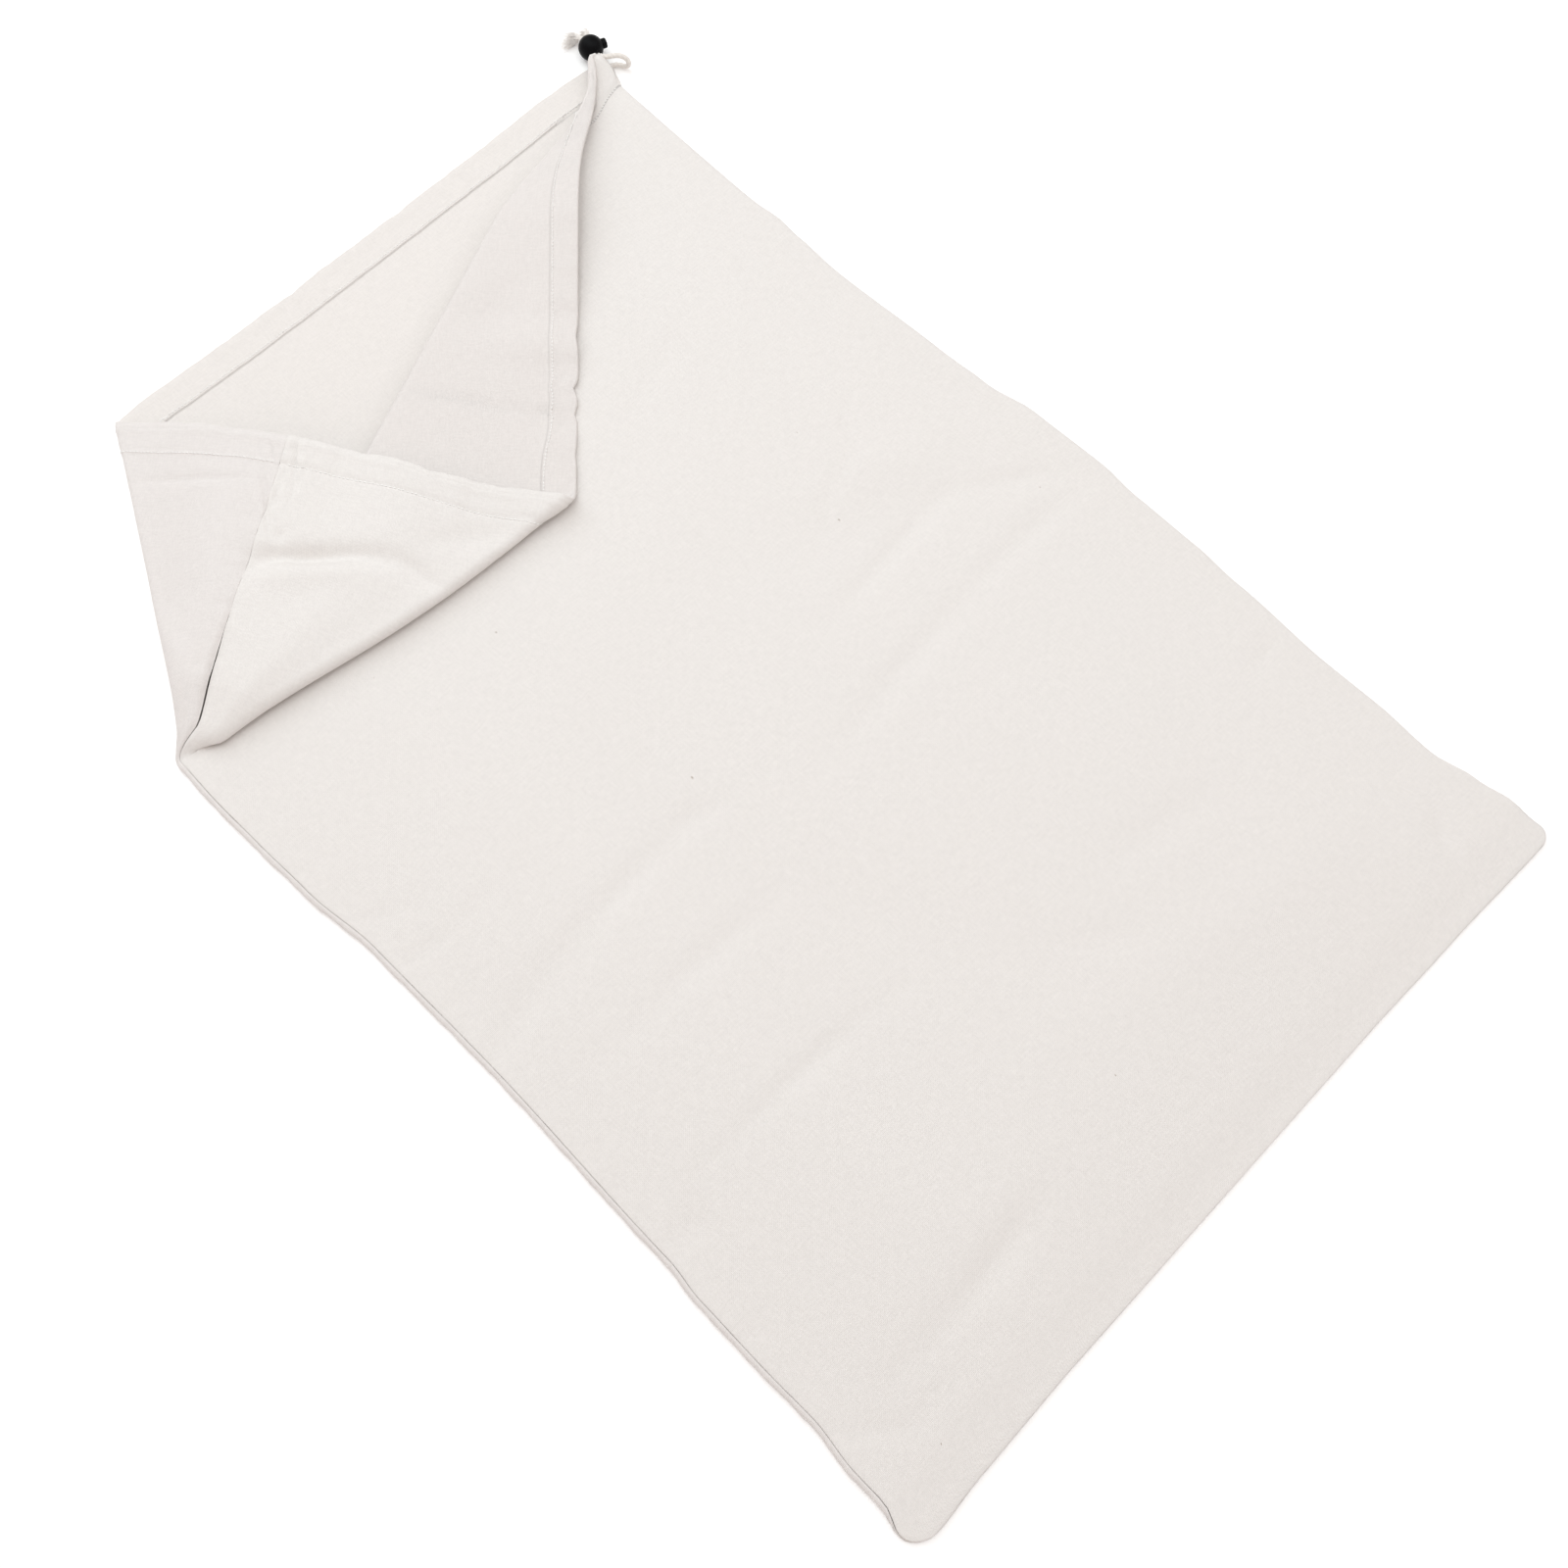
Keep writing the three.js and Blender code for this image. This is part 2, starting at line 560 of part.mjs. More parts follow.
// One tapered three-sided yarn through its points.
function yarnGeometry(points) {
  const rings = points.slice(0, -1).map((point, i) => {
    const radius = YARN * (1 - (0.5 * i) / (points.length - 1));
    const heading = points[i + 1].clone().sub(point).normalize();
    const turn = new THREE.Quaternion().setFromUnitVectors(new THREE.Vector3(0, 0, 1), heading);
    return [0, 1, 2].map((side) => {
      const angle = (2 * Math.PI * side) / 3;
      const corner = new THREE.Vector3(Math.cos(angle), Math.sin(angle), 0).multiplyScalar(radius);
      return corner.applyQuaternion(turn).add(point);
    });
  });
  const vertices = [...rings.flat(), points[points.length - 1]];
  const index = [2, 1, 0];
  for (let ring = 0; ring + 1 < rings.length; ring++)
    for (let side = 0; side < 3; side++) {
      const [a, b] = [3 * ring + side, 3 * ring + ((side + 1) % 3)];
      index.push(a, b, b + 3, a, b + 3, a + 3);
    }
  const last = 3 * (rings.length - 1);
  for (let side = 0; side < 3; side++) index.push(last + side, last + ((side + 1) % 3), vertices.length - 1);
  return new THREE.BufferGeometry().setFromPoints(vertices).setIndex(index);
}

// A tuft: the cord's last whole turn, with its yarns opening out and settling on the table.
function tuftGeometry({ strand, length, opening, yarns }) {
  const route = STRANDS[strand].route;
  const [before, end] = route.slice(-2);
  const heading = end.clone().sub(before).normalize();
  const turn = new THREE.Quaternion().setFromUnitVectors(new THREE.Vector3(0, 0, 1), heading);
  const root = end.clone().addScaledVector(heading, 0.3);
  const head = new THREE.CylinderGeometry(HEAD.end, CORD / 2, HEAD.length, 12).rotateX(Math.PI / 2);
  head.translate(0, 0, HEAD.length / 2).applyQuaternion(turn).translate(root.x, root.y, root.z);
  let tuft = solidOf(head);
  for (let i = 0; i < yarns; i++) {
    const share = Math.sqrt((i + 0.5) / yarns);
    const around = i * GOLDEN_ANGLE;
    const sideways = new THREE.Vector3(Math.cos(around), Math.sin(around), 0);
    const reach = length * (0.82 + 0.18 * Math.sin(3.7 * i));
    const points = [0.12, 0.45, 0.75, 1].map((t) => {
      const spread = YARN_RING * share + reach * Math.sin(opening * share) * t ** 1.3;
      const point = sideways.clone().multiplyScalar(spread);
      point.setZ(YARN_START + reach * t * Math.cos(opening * share)).applyQuaternion(turn).add(root);
      point.z = Math.max(point.z - YARN_SAG * t * t, YARN + 0.25 * (i % 4));
      return point;
    });
    tuft = tuft.add(solidOf(yarnGeometry(points)));
  }
  return geometryOf(tuft);
}

const cloth = (colour) => new THREE.MeshStandardMaterial({ color: colour, roughness: 0.95, metalness: 0 });
const plastic = () => new THREE.MeshStandardMaterial({ color: BLACK_PLASTIC, roughness: 0.5, metalness: 0 });

function piece(name, geometry, material) {
  const mesh = new THREE.Mesh(geometry, material);
  mesh.name = name;
  return mesh;
}

const bag = new THREE.Group();
bag.add(
  piece("front_panel", frontPanel(), cloth(CANVAS_OUTSIDE)),
  piece("back_panel", backPanel(), cloth(CANVAS_INSIDE)),
  piece("lock_body", lockBody(), plastic()),
  piece("lock_button", lockButton(), plastic()),
);
for (const { name, route } of STRANDS) bag.add(piece(name, cordGeometry(route), cloth(COTTON)));
for (const tuft of TUFTS) bag.add(piece(tuft.name, tuftGeometry(tuft), cloth(COTTON)));

// The origin is under the middle of the bag; the left side's turned cloth starts at the outline.
const TURNED_EDGE = 4.5;
bag.position.set(-WIDTH / 2 - TURNED_EDGE, -LENGTH / 2, 0);

export default bag;
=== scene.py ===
# Canvas laundry bag with a drawcord and cord lock, laid flat, one corner of its mouth folded back.
# Metres. Places on the bag are told as in its solids: x runs from the left seam to the right side, y
# from the bottom edge to the mouth and z up from the table, and ORIGIN takes them to the frame. Cloth
# is described twice: (u, v) is a place on a flat panel, (x, y, z) is where that place lies.

import math

import bpy
import numpy as np
from mathutils import Matrix, Vector


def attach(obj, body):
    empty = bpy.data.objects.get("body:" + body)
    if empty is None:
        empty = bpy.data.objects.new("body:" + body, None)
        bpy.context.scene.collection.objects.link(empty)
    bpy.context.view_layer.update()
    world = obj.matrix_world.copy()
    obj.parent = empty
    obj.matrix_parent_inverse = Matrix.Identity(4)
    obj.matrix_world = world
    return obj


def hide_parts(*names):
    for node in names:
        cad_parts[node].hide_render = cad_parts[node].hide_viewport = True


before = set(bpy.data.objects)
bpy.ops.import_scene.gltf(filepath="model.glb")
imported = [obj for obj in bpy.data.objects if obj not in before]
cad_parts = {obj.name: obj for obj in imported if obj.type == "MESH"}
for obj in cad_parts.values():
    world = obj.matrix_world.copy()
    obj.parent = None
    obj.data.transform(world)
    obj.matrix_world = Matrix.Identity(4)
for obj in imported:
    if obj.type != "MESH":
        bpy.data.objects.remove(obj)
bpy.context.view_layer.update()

# Bag sizes
WIDTH = 0.600
LENGTH = 0.920
CLOTH = 0.0016
HEM_DEPTH = 0.025
HEM_EXTRA = 0.0014
HEM_STEP = 0.0006

# The front panel is moved a little off the back one, and more so at the slits along the left seam
SEAM_GAP = (0.0002, -0.0001)
SLIT_WIDTH = 0.030
SEAM_SLIT = {"at": 0.046, "reach": 0.040, "times": 7}
CORNER_SLIT = {"at": 0.020, "reach": 0.018, "times": 2.4}
SEAM_VALLEY = {"at": 0.060, "reach": 0.052, "width": 0.0026, "height": -0.0030}

# Rounding of the bottom corners, the seams' allowance, and the bag's place in the frame
LEFT_CORNER = 0.019
RIGHT_CORNER = 0.012
TURNED_EDGE = 0.0045
ORIGIN = np.array([-WIDTH / 2 - TURNED_EDGE, -LENGTH / 2, 0.0])

# Heights of the cloth's middle surface
FLOOR_LAYER = CLOTH / 2
LAYER_GAP = 0.0003
BOTTOM_STACK = FLOOR_LAYER + CLOTH + LAYER_GAP
SIDE_STACK = 0.0054
STACK_CLIMB = 0.040
LOFT = 0.0054
LOFT_REACH = 0.110

# Turned-back corner: creases as angles from the left seam above P, which is PIVOT up that seam
PIVOT = 0.670
RIGHT_TURN = 0.012
RIM = LENGTH - PIVOT
BACK_CREASE = math.radians(28.37)
TURNED_ANGLE = math.radians(29.68)
SEAM_HEADING = math.radians(56)
CORNER_ANGLE = math.atan2(WIDTH, RIM)
CORNER_RADIUS = math.hypot(WIDTH, RIM)
FIRST_CREASE = math.atan2(WIDTH - RIGHT_TURN, RIM)
SECOND_CREASE = FIRST_CREASE - TURNED_ANGLE
FOLD_RADIUS = 0.0048
CORNER_FOLD = 0.0024
FOLD_START = (0.008, 0.030)
FOLD_OPENS = {"slope": 0.05, "rise": 0.0019, "from": 0.004, "to": 0.022}
CORNER_FOLD_START = 0.380
SEAM_INSET = 0.008
SIDE_START = 0.034

# How far the outline strays outward from a straight edge: place along it, distance
LEFT_WAVE = (
    (0, 0.0075), (0.055, 0.0075), (0.092, 0.0035), (0.130, 0.0040), (0.185, 0.0032), (0.215, 0),
    (0.380, -0.0040), (0.488, -0.0030), (0.550, 0.0030), (0.600, 0.0045), (0.635, 0.0052),
    (0.700, 0.0035), (0.800, 0),
)
RIGHT_WAVE = (
    (0, 0.0055), (0.030, 0.0025), (0.060, -0.0020), (0.092, -0.0075), (0.140, -0.0045), (0.180, -0.0045),
    (0.265, 0.0005), (0.305, 0.0035), (0.360, 0.0045), (0.395, 0.0075), (0.457, 0.0065), (0.500, 0),
    (0.545, -0.0020), (0.645, -0.0050), (0.690, -0.0025), (0.712, -0.0005), (0.735, -0.0025), (0.830, 0),
    (0.885, 0), (0.908, 0.0040), (0.920, 0.0030),
)
BOTTOM_WAVE = (
    (0, 0.0020), (0.040, -0.0006), (0.110, -0.0026), (0.420, -0.0026), (0.500, -0.0014), (0.600, 0.0010),
)
MOUTH_WAVE = (
    (0.100, 0.0030), (0.125, 0.0042), (0.150, 0.0052), (0.168, 0.0062), (0.188, 0.0051), (0.206, 0.0046),
    (0.244, 0.0034), (0.300, 0.0030), (0.480, 0.0035), (0.545, 0.0052), (0.600, 0.0032),
)

# How far in from each side its waves reach, as shares of the bag's width or length
WAVE_ENDS = {"left": 0.6, "right": 0.4, "bottom": 0.3, "mouth": 0.8}

# The bag lies this far to the left of its drawcord's end, all but the mouth's right end
BODY_SHIFT = -0.0033
UNSHIFTED = {"up": (0.87, 0.985), "across": (0.5, 0.95)}

# Soft hollows and ridges on top of the bag: x, y, heading from +x in degrees, half length, half
# width and height
CREASES = (
    (0.470, 0.470, 155, 0.110, 0.026, -0.0016),
    (0.520, 0.500, 165, 0.070, 0.016, 0.0014),
    (0.300, 0.560, 20, 0.130, 0.038, 0.0013),
    (0.190, 0.480, 75, 0.120, 0.034, -0.0015),
    (0.110, 0.400, 60, 0.060, 0.014, 0.0012),
    (0.400, 0.330, 100, 0.140, 0.042, 0.0012),
    (0.260, 0.250, 120, 0.130, 0.036, -0.0013),
    (0.480, 0.190, 60, 0.090, 0.026, -0.0014),
    (0.130, 0.190, 95, 0.100, 0.024, 0.0011),
    (0.360, 0.120, 170, 0.120, 0.024, 0.0012),
    (0.550, 0.300, 90, 0.090, 0.014, -0.0011),
    (0.060, 0.560, 80, 0.070, 0.016, -0.001),
    (0.500, 0.680, 110, 0.120, 0.030, 0.0013),
    (0.560, 0.800, 95, 0.080, 0.016, -0.001),
)

# Sharper wrinkles of the bag, told in the same way
WRINKLES = (
    (0.142, 0.404, 4, 0.052, 0.0086, -0.0026),
    (0.053, 0.391, 11, 0.036, 0.0106, -0.0022),
    (0.217, 0.405, 168, 0.019, 0.0079, -0.0017),
    (0.152, 0.332, 178, 0.050, 0.0092, -0.0021),
    (0.141, 0.237, 177, 0.059, 0.0066, -0.0022),
    (0.148, 0.073, 6, 0.042, 0.0106, -0.0030),
    (0.083, 0.057, 20, 0.033, 0.0092, -0.0025),
    (0.034, 0.059, 142, 0.025, 0.0045, -0.0012),
    (0.508, 0.547, 49, 0.025, 0.0045, -0.0014),
    (0.466, 0.517, 24, 0.028, 0.0059, -0.0014),
    (0.584, 0.528, 94, 0.044, 0.0059, -0.0021),
    (0.547, 0.430, 147, 0.050, 0.0079, -0.0022),
    (0.447, 0.450, 7, 0.057, 0.0079, -0.0026),
    (0.529, 0.393, 1, 0.055, 0.0079, -0.0020),
    (0.397, 0.383, 7, 0.078, 0.0092, -0.0020),
    (0.574, 0.216, 9, 0.021, 0.0045, -0.0015),
    (0.555, 0.052, 51, 0.020, 0.0059, -0.0020),
    (0.272, 0.016, 77, 0.014, 0.0036, -0.0012),
    (0.339, 0.014, 86, 0.009, 0.0036, -0.0010),
    (0.029, 0.464, 174, 0.022, 0.0040, -0.0016),
    (0.024, 0.503, 153, 0.024, 0.0040, -0.0010),
    (0.031, 0.218, 21, 0.016, 0.0092, -0.0015),
    (0.435, 0.673, 19, 0.047, 0.0092, -0.0010),
    (0.426, 0.184, 169, 0.049, 0.0132, -0.0014),
    (0.341, 0.161, 141, 0.032, 0.0092, -0.0010),
    (0.520, 0.843, 46, 0.105, 0.028, 0.0036),
)
WRINKLE_MARGIN = 0.020

# Creases of the turned-back corner, where its outside is up
FLAP_CREASES = (
    (0.162, 0.725, 136, 0.030, 0.0070, -0.0095),
    (0.153, 0.714, 140, 0.034, 0.0100, 0.0030),
    (0.192, 0.692, 127, 0.022, 0.0080, -0.0045),
    (0.205, 0.662, 100, 0.018, 0.0075, -0.0035),
    (0.132, 0.744, 176, 0.014, 0.0080, -0.0035),
    (0.250, 0.658, 141, 0.037, 0.0092, -0.0020),
    (0.165, 0.776, 54, 0.030, 0.0020, -0.0020),
    (0.174, 0.777, 33, 0.011, 0.0022, -0.0014),
    (0.198, 0.785, 44, 0.018, 0.0016, -0.0018),
    (0.202, 0.781, 43, 0.014, 0.0022, 0.0010),
    (0.192, 0.774, 25, 0.013, 0.0018, -0.0013),
    (0.195, 0.805, 58, 0.011, 0.0018, -0.0014),
    (0.157, 0.751, 10, 0.005, 0.0046, -0.0020),
    (0.143, 0.833, 129, 0.045, 0.0030, -0.0014),
    (0.289, 0.642, 124, 0.015, 0.0022, -0.0014),
)

# Creases of the triangle beside it, where the front panel's inside is up
TRIANGLE_CREASES = (
    (0.404, 0.793, 11, 0.038, 0.0185, -0.0028),
    (0.322, 0.748, 126, 0.046, 0.0034, -0.0013),
    (0.356, 0.704, 111, 0.007, 0.0030, -0.0012),
)

# The front panel's mouth stands up like a small tent where it bends over the drawcord
PEAK = {"at": (0.604, 0.921), "reach": 0.018, "height": 0.009, "from_seam": 0.010}

# Puckers where the hem was stitched: place along the mouth from the left seam, half width, height
PUCKERS = (
    (0.038, 0.015, -0.0032),
    (0.078, 0.017, 0.0016),
    (0.132, 0.020, -0.0013),
    (0.182, 0.014, 0.0017),
    (0.262, 0.020, -0.0018),
    (0.322, 0.012, 0.0026),
    (0.350, 0.012, -0.0022),
    (0.430, 0.026, 0.0016),
    (0.500, 0.022, -0.0012),
)
PUCKER_REACH = 0.070
PUCKER_FADES = (1.5, 2)

# Beside the mouth's right end the turned cloth is squeezed toward its own mouth edge, which leans out
SQUEEZE = {"at": (0.5969, 0.9232), "heading": (-0.695, -0.719), "narrow": 0.34, "start": 0.024, "end": 0.155}
LEAN = {"at": 0.0425, "reach": 0.048, "out": 0.0082, "from": 0.052, "to": 0.022}

# The back panel's crease is pressed low near the mouth, and the flap climbs from it to its seam
BACK_ROLL = {"height": 0.0082, "start": 0.0455, "end": 0.136, "climbs_over": 0.75}
FRONT_SLANT = 2 * TURNED_ANGLE - SEAM_HEADING
BACK_SLANT = 2 * BACK_CREASE - SEAM_HEADING
MOST_OF_TURN = 0.95

# The turned corner's lower fold bellies out, and its mouth sags between the corners
BELLY = {"at": 0.18, "reach": 0.11, "out": 0.0090}
FRONT_SAG = {"depth": 0.0050, "full": 0.120, "end": 0.190, "fades": 0.130}
BACK_SAG = {"depth": 0.0050, "full": 0.040, "end": 0.110, "fades": 0.130}
SAG_EDGE = 0.010

# Beside the lower fold: the angle before it at which the triangle gives way to it, then the share of
# its own angle where its belly ends and the shares where its pressed strip starts and is full
FOLD_SIDES = {"before": 0.1, "belly": 0.8, "pressed": (0.55, 0.95)}

# The triangle is pressed onto the bag beside the lower half of its mouth and along its lower fold
PRESSED = {"full": 0.300, "end": 0.400, "reach": 0.060, "gap": 0.0036, "fold": 0.90}

# Higher up its mouth stands off the bag
RAISED = {"at": 0.460, "reach": 0.070, "height": 0.0095}

# Small nicks in the mouth's edges: place along the edge, half width, depth
FRONT_NICKS = (
    (0.100, 0.0400, 0.0025),
    (0.286, 0.0045, 0.0034),
    (0.266, 0.0040, 0.0020),
    (0.330, 0.0070, 0.0012),
    (0.232, 0.0060, 0.0010),
    (0.140, 0.0050, 0.0013),
    (0.092, 0.0060, 0.0015),
    (0.048, 0.0050, 0.0011),
)
BACK_NICKS = (
    (0.299, 0.0045, 0.0016),
    (0.328, 0.0070, -0.0012),
    (0.400, 0.0080, 0.0008),
    (0.076, 0.0060, 0.0012),
)
NICK_REACH = 0.030

# Camera of the photograph: the floor point at the picture's middle, and how the camera stands to it
FLOOR_AIM = Vector((-0.0310, -0.0759, 0))
PICTURE_TURN = math.radians(-45.32)
TILT = math.radians(22.1)
DISTANCE = 1.2035
SENSOR = 36.0
LENS = 41.5

# Cord lock: a ball with a sprung button
BALL = Vector((0.6100, 0.9315, 0.0100))
BALL_RADIUS = 0.010
CORD_HEADING = Vector((0.35, 0.937, 0)).normalized()
BUTTON_HEADING = Vector((CORD_HEADING.y, -CORD_HEADING.x, 0))
CORD = 0.004
CORD_SPACING = 0.00215
RUNNING_GAP = 0.00035
BUTTON = {"radius": 0.004, "inner": 0.006, "reach": 0.013, "travel": 0.002}

# Colours, linear
CANVAS_OUTSIDE = (0.840, 0.812, 0.788)
# The back's outside is the same canvas as CANVAS_OUTSIDE, a little darker: painted shade for the turned
# corner's left part
BACK_OUTSIDE_SHADED = (0.814, 0.779, 0.760)
# The front's inside is the same canvas, a little darker: painted shade for the turned triangle, where it is
# up
FRONT_INSIDE_SHADED = (0.800, 0.762, 0.740)
BACK_INSIDE = (0.842, 0.806, 0.778)
SEED_COLOUR = (0.40, 0.33, 0.27)
THREAD_COLOUR = (0.98, 0.975, 0.96)
COTTON = (0.86, 0.82, 0.775)
# The frayed ends are the cord's cotton made lighter: painted light that makes up for the shade their fine
# fibres cast on each other
FRAY_COTTON_LIGHTENED = (0.99, 0.955, 0.92)
BLACK_PLASTIC = (0.0025, 0.0025, 0.0030)
FLOOR_COLOUR = (0.95, 0.95, 0.95)
FLOOR_GLOW = 0.13
SKY_COLOUR = (1.0, 0.89, 0.845)
TOP_COLOUR = (0.915, 0.99, 1.0)
KEY_COLOUR = (0.85, 0.96, 1.0)


def clamp01(t):
    return np.clip(t, 0.0, 1.0)


def mix(a, b, t):
    return a + (b - a) * t


def smooth(start, end, value):
    t = clamp01((value - start) / (end - start))
    return t * t * (3 - 2 * t)


def bump(value, middle, reach):
    """A soft hump that is 1 at its middle."""
    return np.exp(-(((value - middle) / reach) ** 2))


def wave_at(wave, place):
    """Smooth line through the rows of a wave table."""
    at, out = (np.array(column, float) for column in zip(*wave))
    after = np.clip(np.searchsorted(at, place), 1, len(at) - 1)
    return mix(out[after - 1], out[after], smooth(at[after - 1], at[after], place))


def corner_inset(radius, y):
    """Distance that a rounded corner takes off the outline at this height."""
    drop = radius - np.clip(y, 0, radius)
    return radius - np.sqrt(radius * radius - drop * drop)


def uneven_place(x, y):
    """Moves a place of the straight-edged bag to the real, uneven outline."""
    across = clamp01(x / WIDTH)
    up = clamp01(y / LENGTH)
    left = corner_inset(LEFT_CORNER, y) - wave_at(LEFT_WAVE, y)
    right = wave_at(RIGHT_WAVE, y) - corner_inset(RIGHT_CORNER, y)
    bottom = -wave_at(BOTTOM_WAVE, x)
    mouth = wave_at(MOUTH_WAVE, x)
    left = left * (1 - smooth(0, WAVE_ENDS["left"], across))
    right = right * smooth(WAVE_ENDS["right"], 1, across)
    bottom = bottom * (1 - smooth(0, WAVE_ENDS["bottom"], up))
    mouth = mouth * smooth(WAVE_ENDS["mouth"], 1, up)
    shifted = BODY_SHIFT * (1 - smooth(*UNSHIFTED["up"], up) * smooth(*UNSHIFTED["across"], across))
    return x + shifted + left + right, y + bottom + mouth


def ridge(x, y, row):
    """One long soft ridge of a crease table."""
    middle_x, middle_y, heading, length, width, height = row
    turn = math.radians(heading)
    along = ((x - middle_x) * math.cos(turn) + (y - middle_y) * math.sin(turn)) / length
    across = ((y - middle_y) * math.cos(turn) - (x - middle_x) * math.sin(turn)) / width
    return height * np.exp(-along * along - across * across)


def creased(x, y, rows):
    return sum(ridge(x, y, row) for row in rows)


def off_edges(x, y, reach):
    """Rises from 0 at the bag's sides and bottom to 1 this far in."""
    return smooth(0, reach, x) * smooth(0, reach, WIDTH - x) * smooth(0, reach, y)


def top_height(x, y):
    """Height of the front panel where it lies on the bag, and of the ground under its turned corner."""
    edge = mix(BOTTOM_STACK, SIDE_STACK, smooth(0, STACK_CLIMB, y))
    swell = (LOFT + creased(x, y, CREASES)) * off_edges(x, y, LOFT_REACH)
    return edge + swell + creased(x, y, WRINKLES) * off_edges(x, y, WRINKLE_MARGIN)


def fold_over(s, crease, reach):
    """A strip folded over at a crease: where it then lies along its own line, and its lift, 0 to 1."""
    turn = math.pi * clamp01((crease + reach - s) / (2 * reach))
    along = crease + reach - (2 / math.pi) * reach * np.sin(turn)
    along = np.where(turn <= 0, s, along)
    along = np.where(turn >= math.pi, 2 * crease - s, along)
    return along, (1 - np.cos(turn)) / 2


def turn_reach(rise):
    """Half the cloth that a round turn takes up to climb this far."""
    return math.pi * rise / 4


def fold_start(rho):
    """Half the height to which a fold has opened at a distance from P."""
    return FOLD_OPENS["slope"] * rho + FOLD_OPENS["rise"] * smooth(FOLD_OPENS["from"], FOLD_OPENS["to"], rho)


def first_rise(rho):
    radius = mix(FOLD_RADIUS, CORNER_FOLD, smooth(CORNER_FOLD_START, CORNER_RADIUS, rho))
    return 2 * np.minimum(fold_start(rho), radius)


def second_rise(rho):
    return 2 * np.minimum(fold_start(rho), FOLD_RADIUS)


def begun(rho):
    return smooth(*FOLD_START, rho)


def flap_height(x, y, rho):
    return top_height(x, y) + first_rise(rho) + second_rise(rho)


def pucker(u, v):
    """Rise and fall of the hem's puckers."""
    from_mouth = (LENGTH - v) / PUCKER_REACH
    height = sum(row[2] * bump(u, row[0], row[1]) for row in PUCKERS)
    return height * np.exp(-from_mouth * from_mouth) * (1 - smooth(*PUCKER_FADES, from_mouth))


def polar(u, v):
    """Distance from P on the left seam, and angle from the seam above it."""
    return np.maximum(np.hypot(u, v - PIVOT), 1e-6), np.arctan2(u, v - PIVOT)


def side_turn(s, v):
    """The turn of the cloth over a side of the bag, s from its seam."""
    reach = turn_reach(top_height(np.full_like(v, SEAM_INSET), v) - FLOOR_LAYER)
    return fold_over(s, mix(-reach, SEAM_INSET / 2, smooth(0, SIDE_START, v)), reach)


def front_flat(u, v):
    right, down = side_turn(WIDTH - u, v)
    x = side_turn(np.zeros_like(v), v)[0] + WIDTH - right
    return np.stack([x, v, mix(top_height(x, v), FLOOR_LAYER, down)], 1)


def front_folded(u, v):
    """The front panel with its corner turned back: inside up, then over once more."""
    rho, psi = polar(u, v)
    first, first_lift = fold_over(rho * psi, rho * FIRST_CREASE, turn_reach(first_rise(rho)))
    second, second_lift = fold_over(rho * psi, rho * SECOND_CREASE, turn_reach(second_rise(rho)))
    past_second = psi < (FIRST_CREASE + SECOND_CREASE) / 2
    angle = np.where(past_second, 2 * rho * FIRST_CREASE - second, first) / rho
    angle = angle - FRONT_SLANT * clamp01((SECOND_CREASE - psi) / SECOND_CREASE)
    angle = angle + BELLY["out"] * bump(rho, BELLY["at"], BELLY["reach"]) / rho * near_second(psi)
    x = SEAM_INSET + rho * np.sin(angle)
    y = PIVOT + rho * np.cos(angle)
    climbed = first_rise(rho) * first_lift + second_rise(rho) * second_lift
    share = np.maximum(beside_mouth(u, v) * (1 - second_lift), PRESSED["fold"] * beside_fold(psi))
    climbed = climbed - np.maximum(first_rise(rho) - PRESSED["gap"], 0) * share * first_lift
    climbed = climbed + RAISED["height"] * bump(u, RAISED["at"], RAISED["reach"]) * near_mouth(v) * first_lift
    bent = creased(x, y, TRIANGLE_CREASES) * first_lift * (1 - second_lift)
    bent += (creased(x, y, FLAP_CREASES) + seam_valley(rho, psi)) * second_lift
    return np.stack([x, y, top_height(x, y) + climbed + bent + pucker(u, v) * first_lift], 1)


def past_first(psi):
    """0 at the first crease, and 1 from just before the lower fold on."""
    return smooth(FIRST_CREASE, SECOND_CREASE + FOLD_SIDES["before"], psi)


def near_second(psi):
    """1 at the lower fold, and 0 at the first crease and at the seam."""
    return past_first(psi) * smooth(0, FOLD_SIDES["belly"] * SECOND_CREASE, psi)


def beside_fold(psi):
    """1 at the lower fold, falling off within a short way on the turned corner."""
    start, full = FOLD_SIDES["pressed"]
    return past_first(psi) * smooth(start * SECOND_CREASE, full * SECOND_CREASE, psi)


def near_mouth(v):
    return smooth(LENGTH - PRESSED["reach"], LENGTH, v)


def beside_mouth(u, v):
    """1 at the lower half of the triangle's mouth."""
    return near_mouth(v) * (1 - smooth(PRESSED["full"], PRESSED["end"], u))


def seam_valley(rho, psi):
    """The seam lies in a narrow valley on the turned corner, deepest near P."""
    depth = SEAM_VALLEY["height"] * bump(rho, SEAM_VALLEY["at"], SEAM_VALLEY["reach"])
    return depth * bump(rho * psi, 0, SEAM_VALLEY["width"])


def peak(x, y, u):
    """How far the mouth's right end is lifted."""
    away = np.hypot(x - PEAK["at"][0], y - PEAK["at"][1])
    return PEAK["height"] * bump(away, 0, PEAK["reach"]) * smooth(0, PEAK["from_seam"], WIDTH - u)


def nicked(u, v, nicks, sag):
    """Height on the panel of a place near the mouth, let down by the nicks and the sag of its edge."""
    depth = sum(row[2] * bump(u, row[0], row[1]) for row in nicks)
    low = sag["depth"] * (1 - smooth(sag["full"], sag["end"], u))
    at_edge = smooth(LENGTH - NICK_REACH, LENGTH, v)
    return v - depth * at_edge - low * smooth(LENGTH - sag["fades"], LENGTH - SAG_EDGE, v)


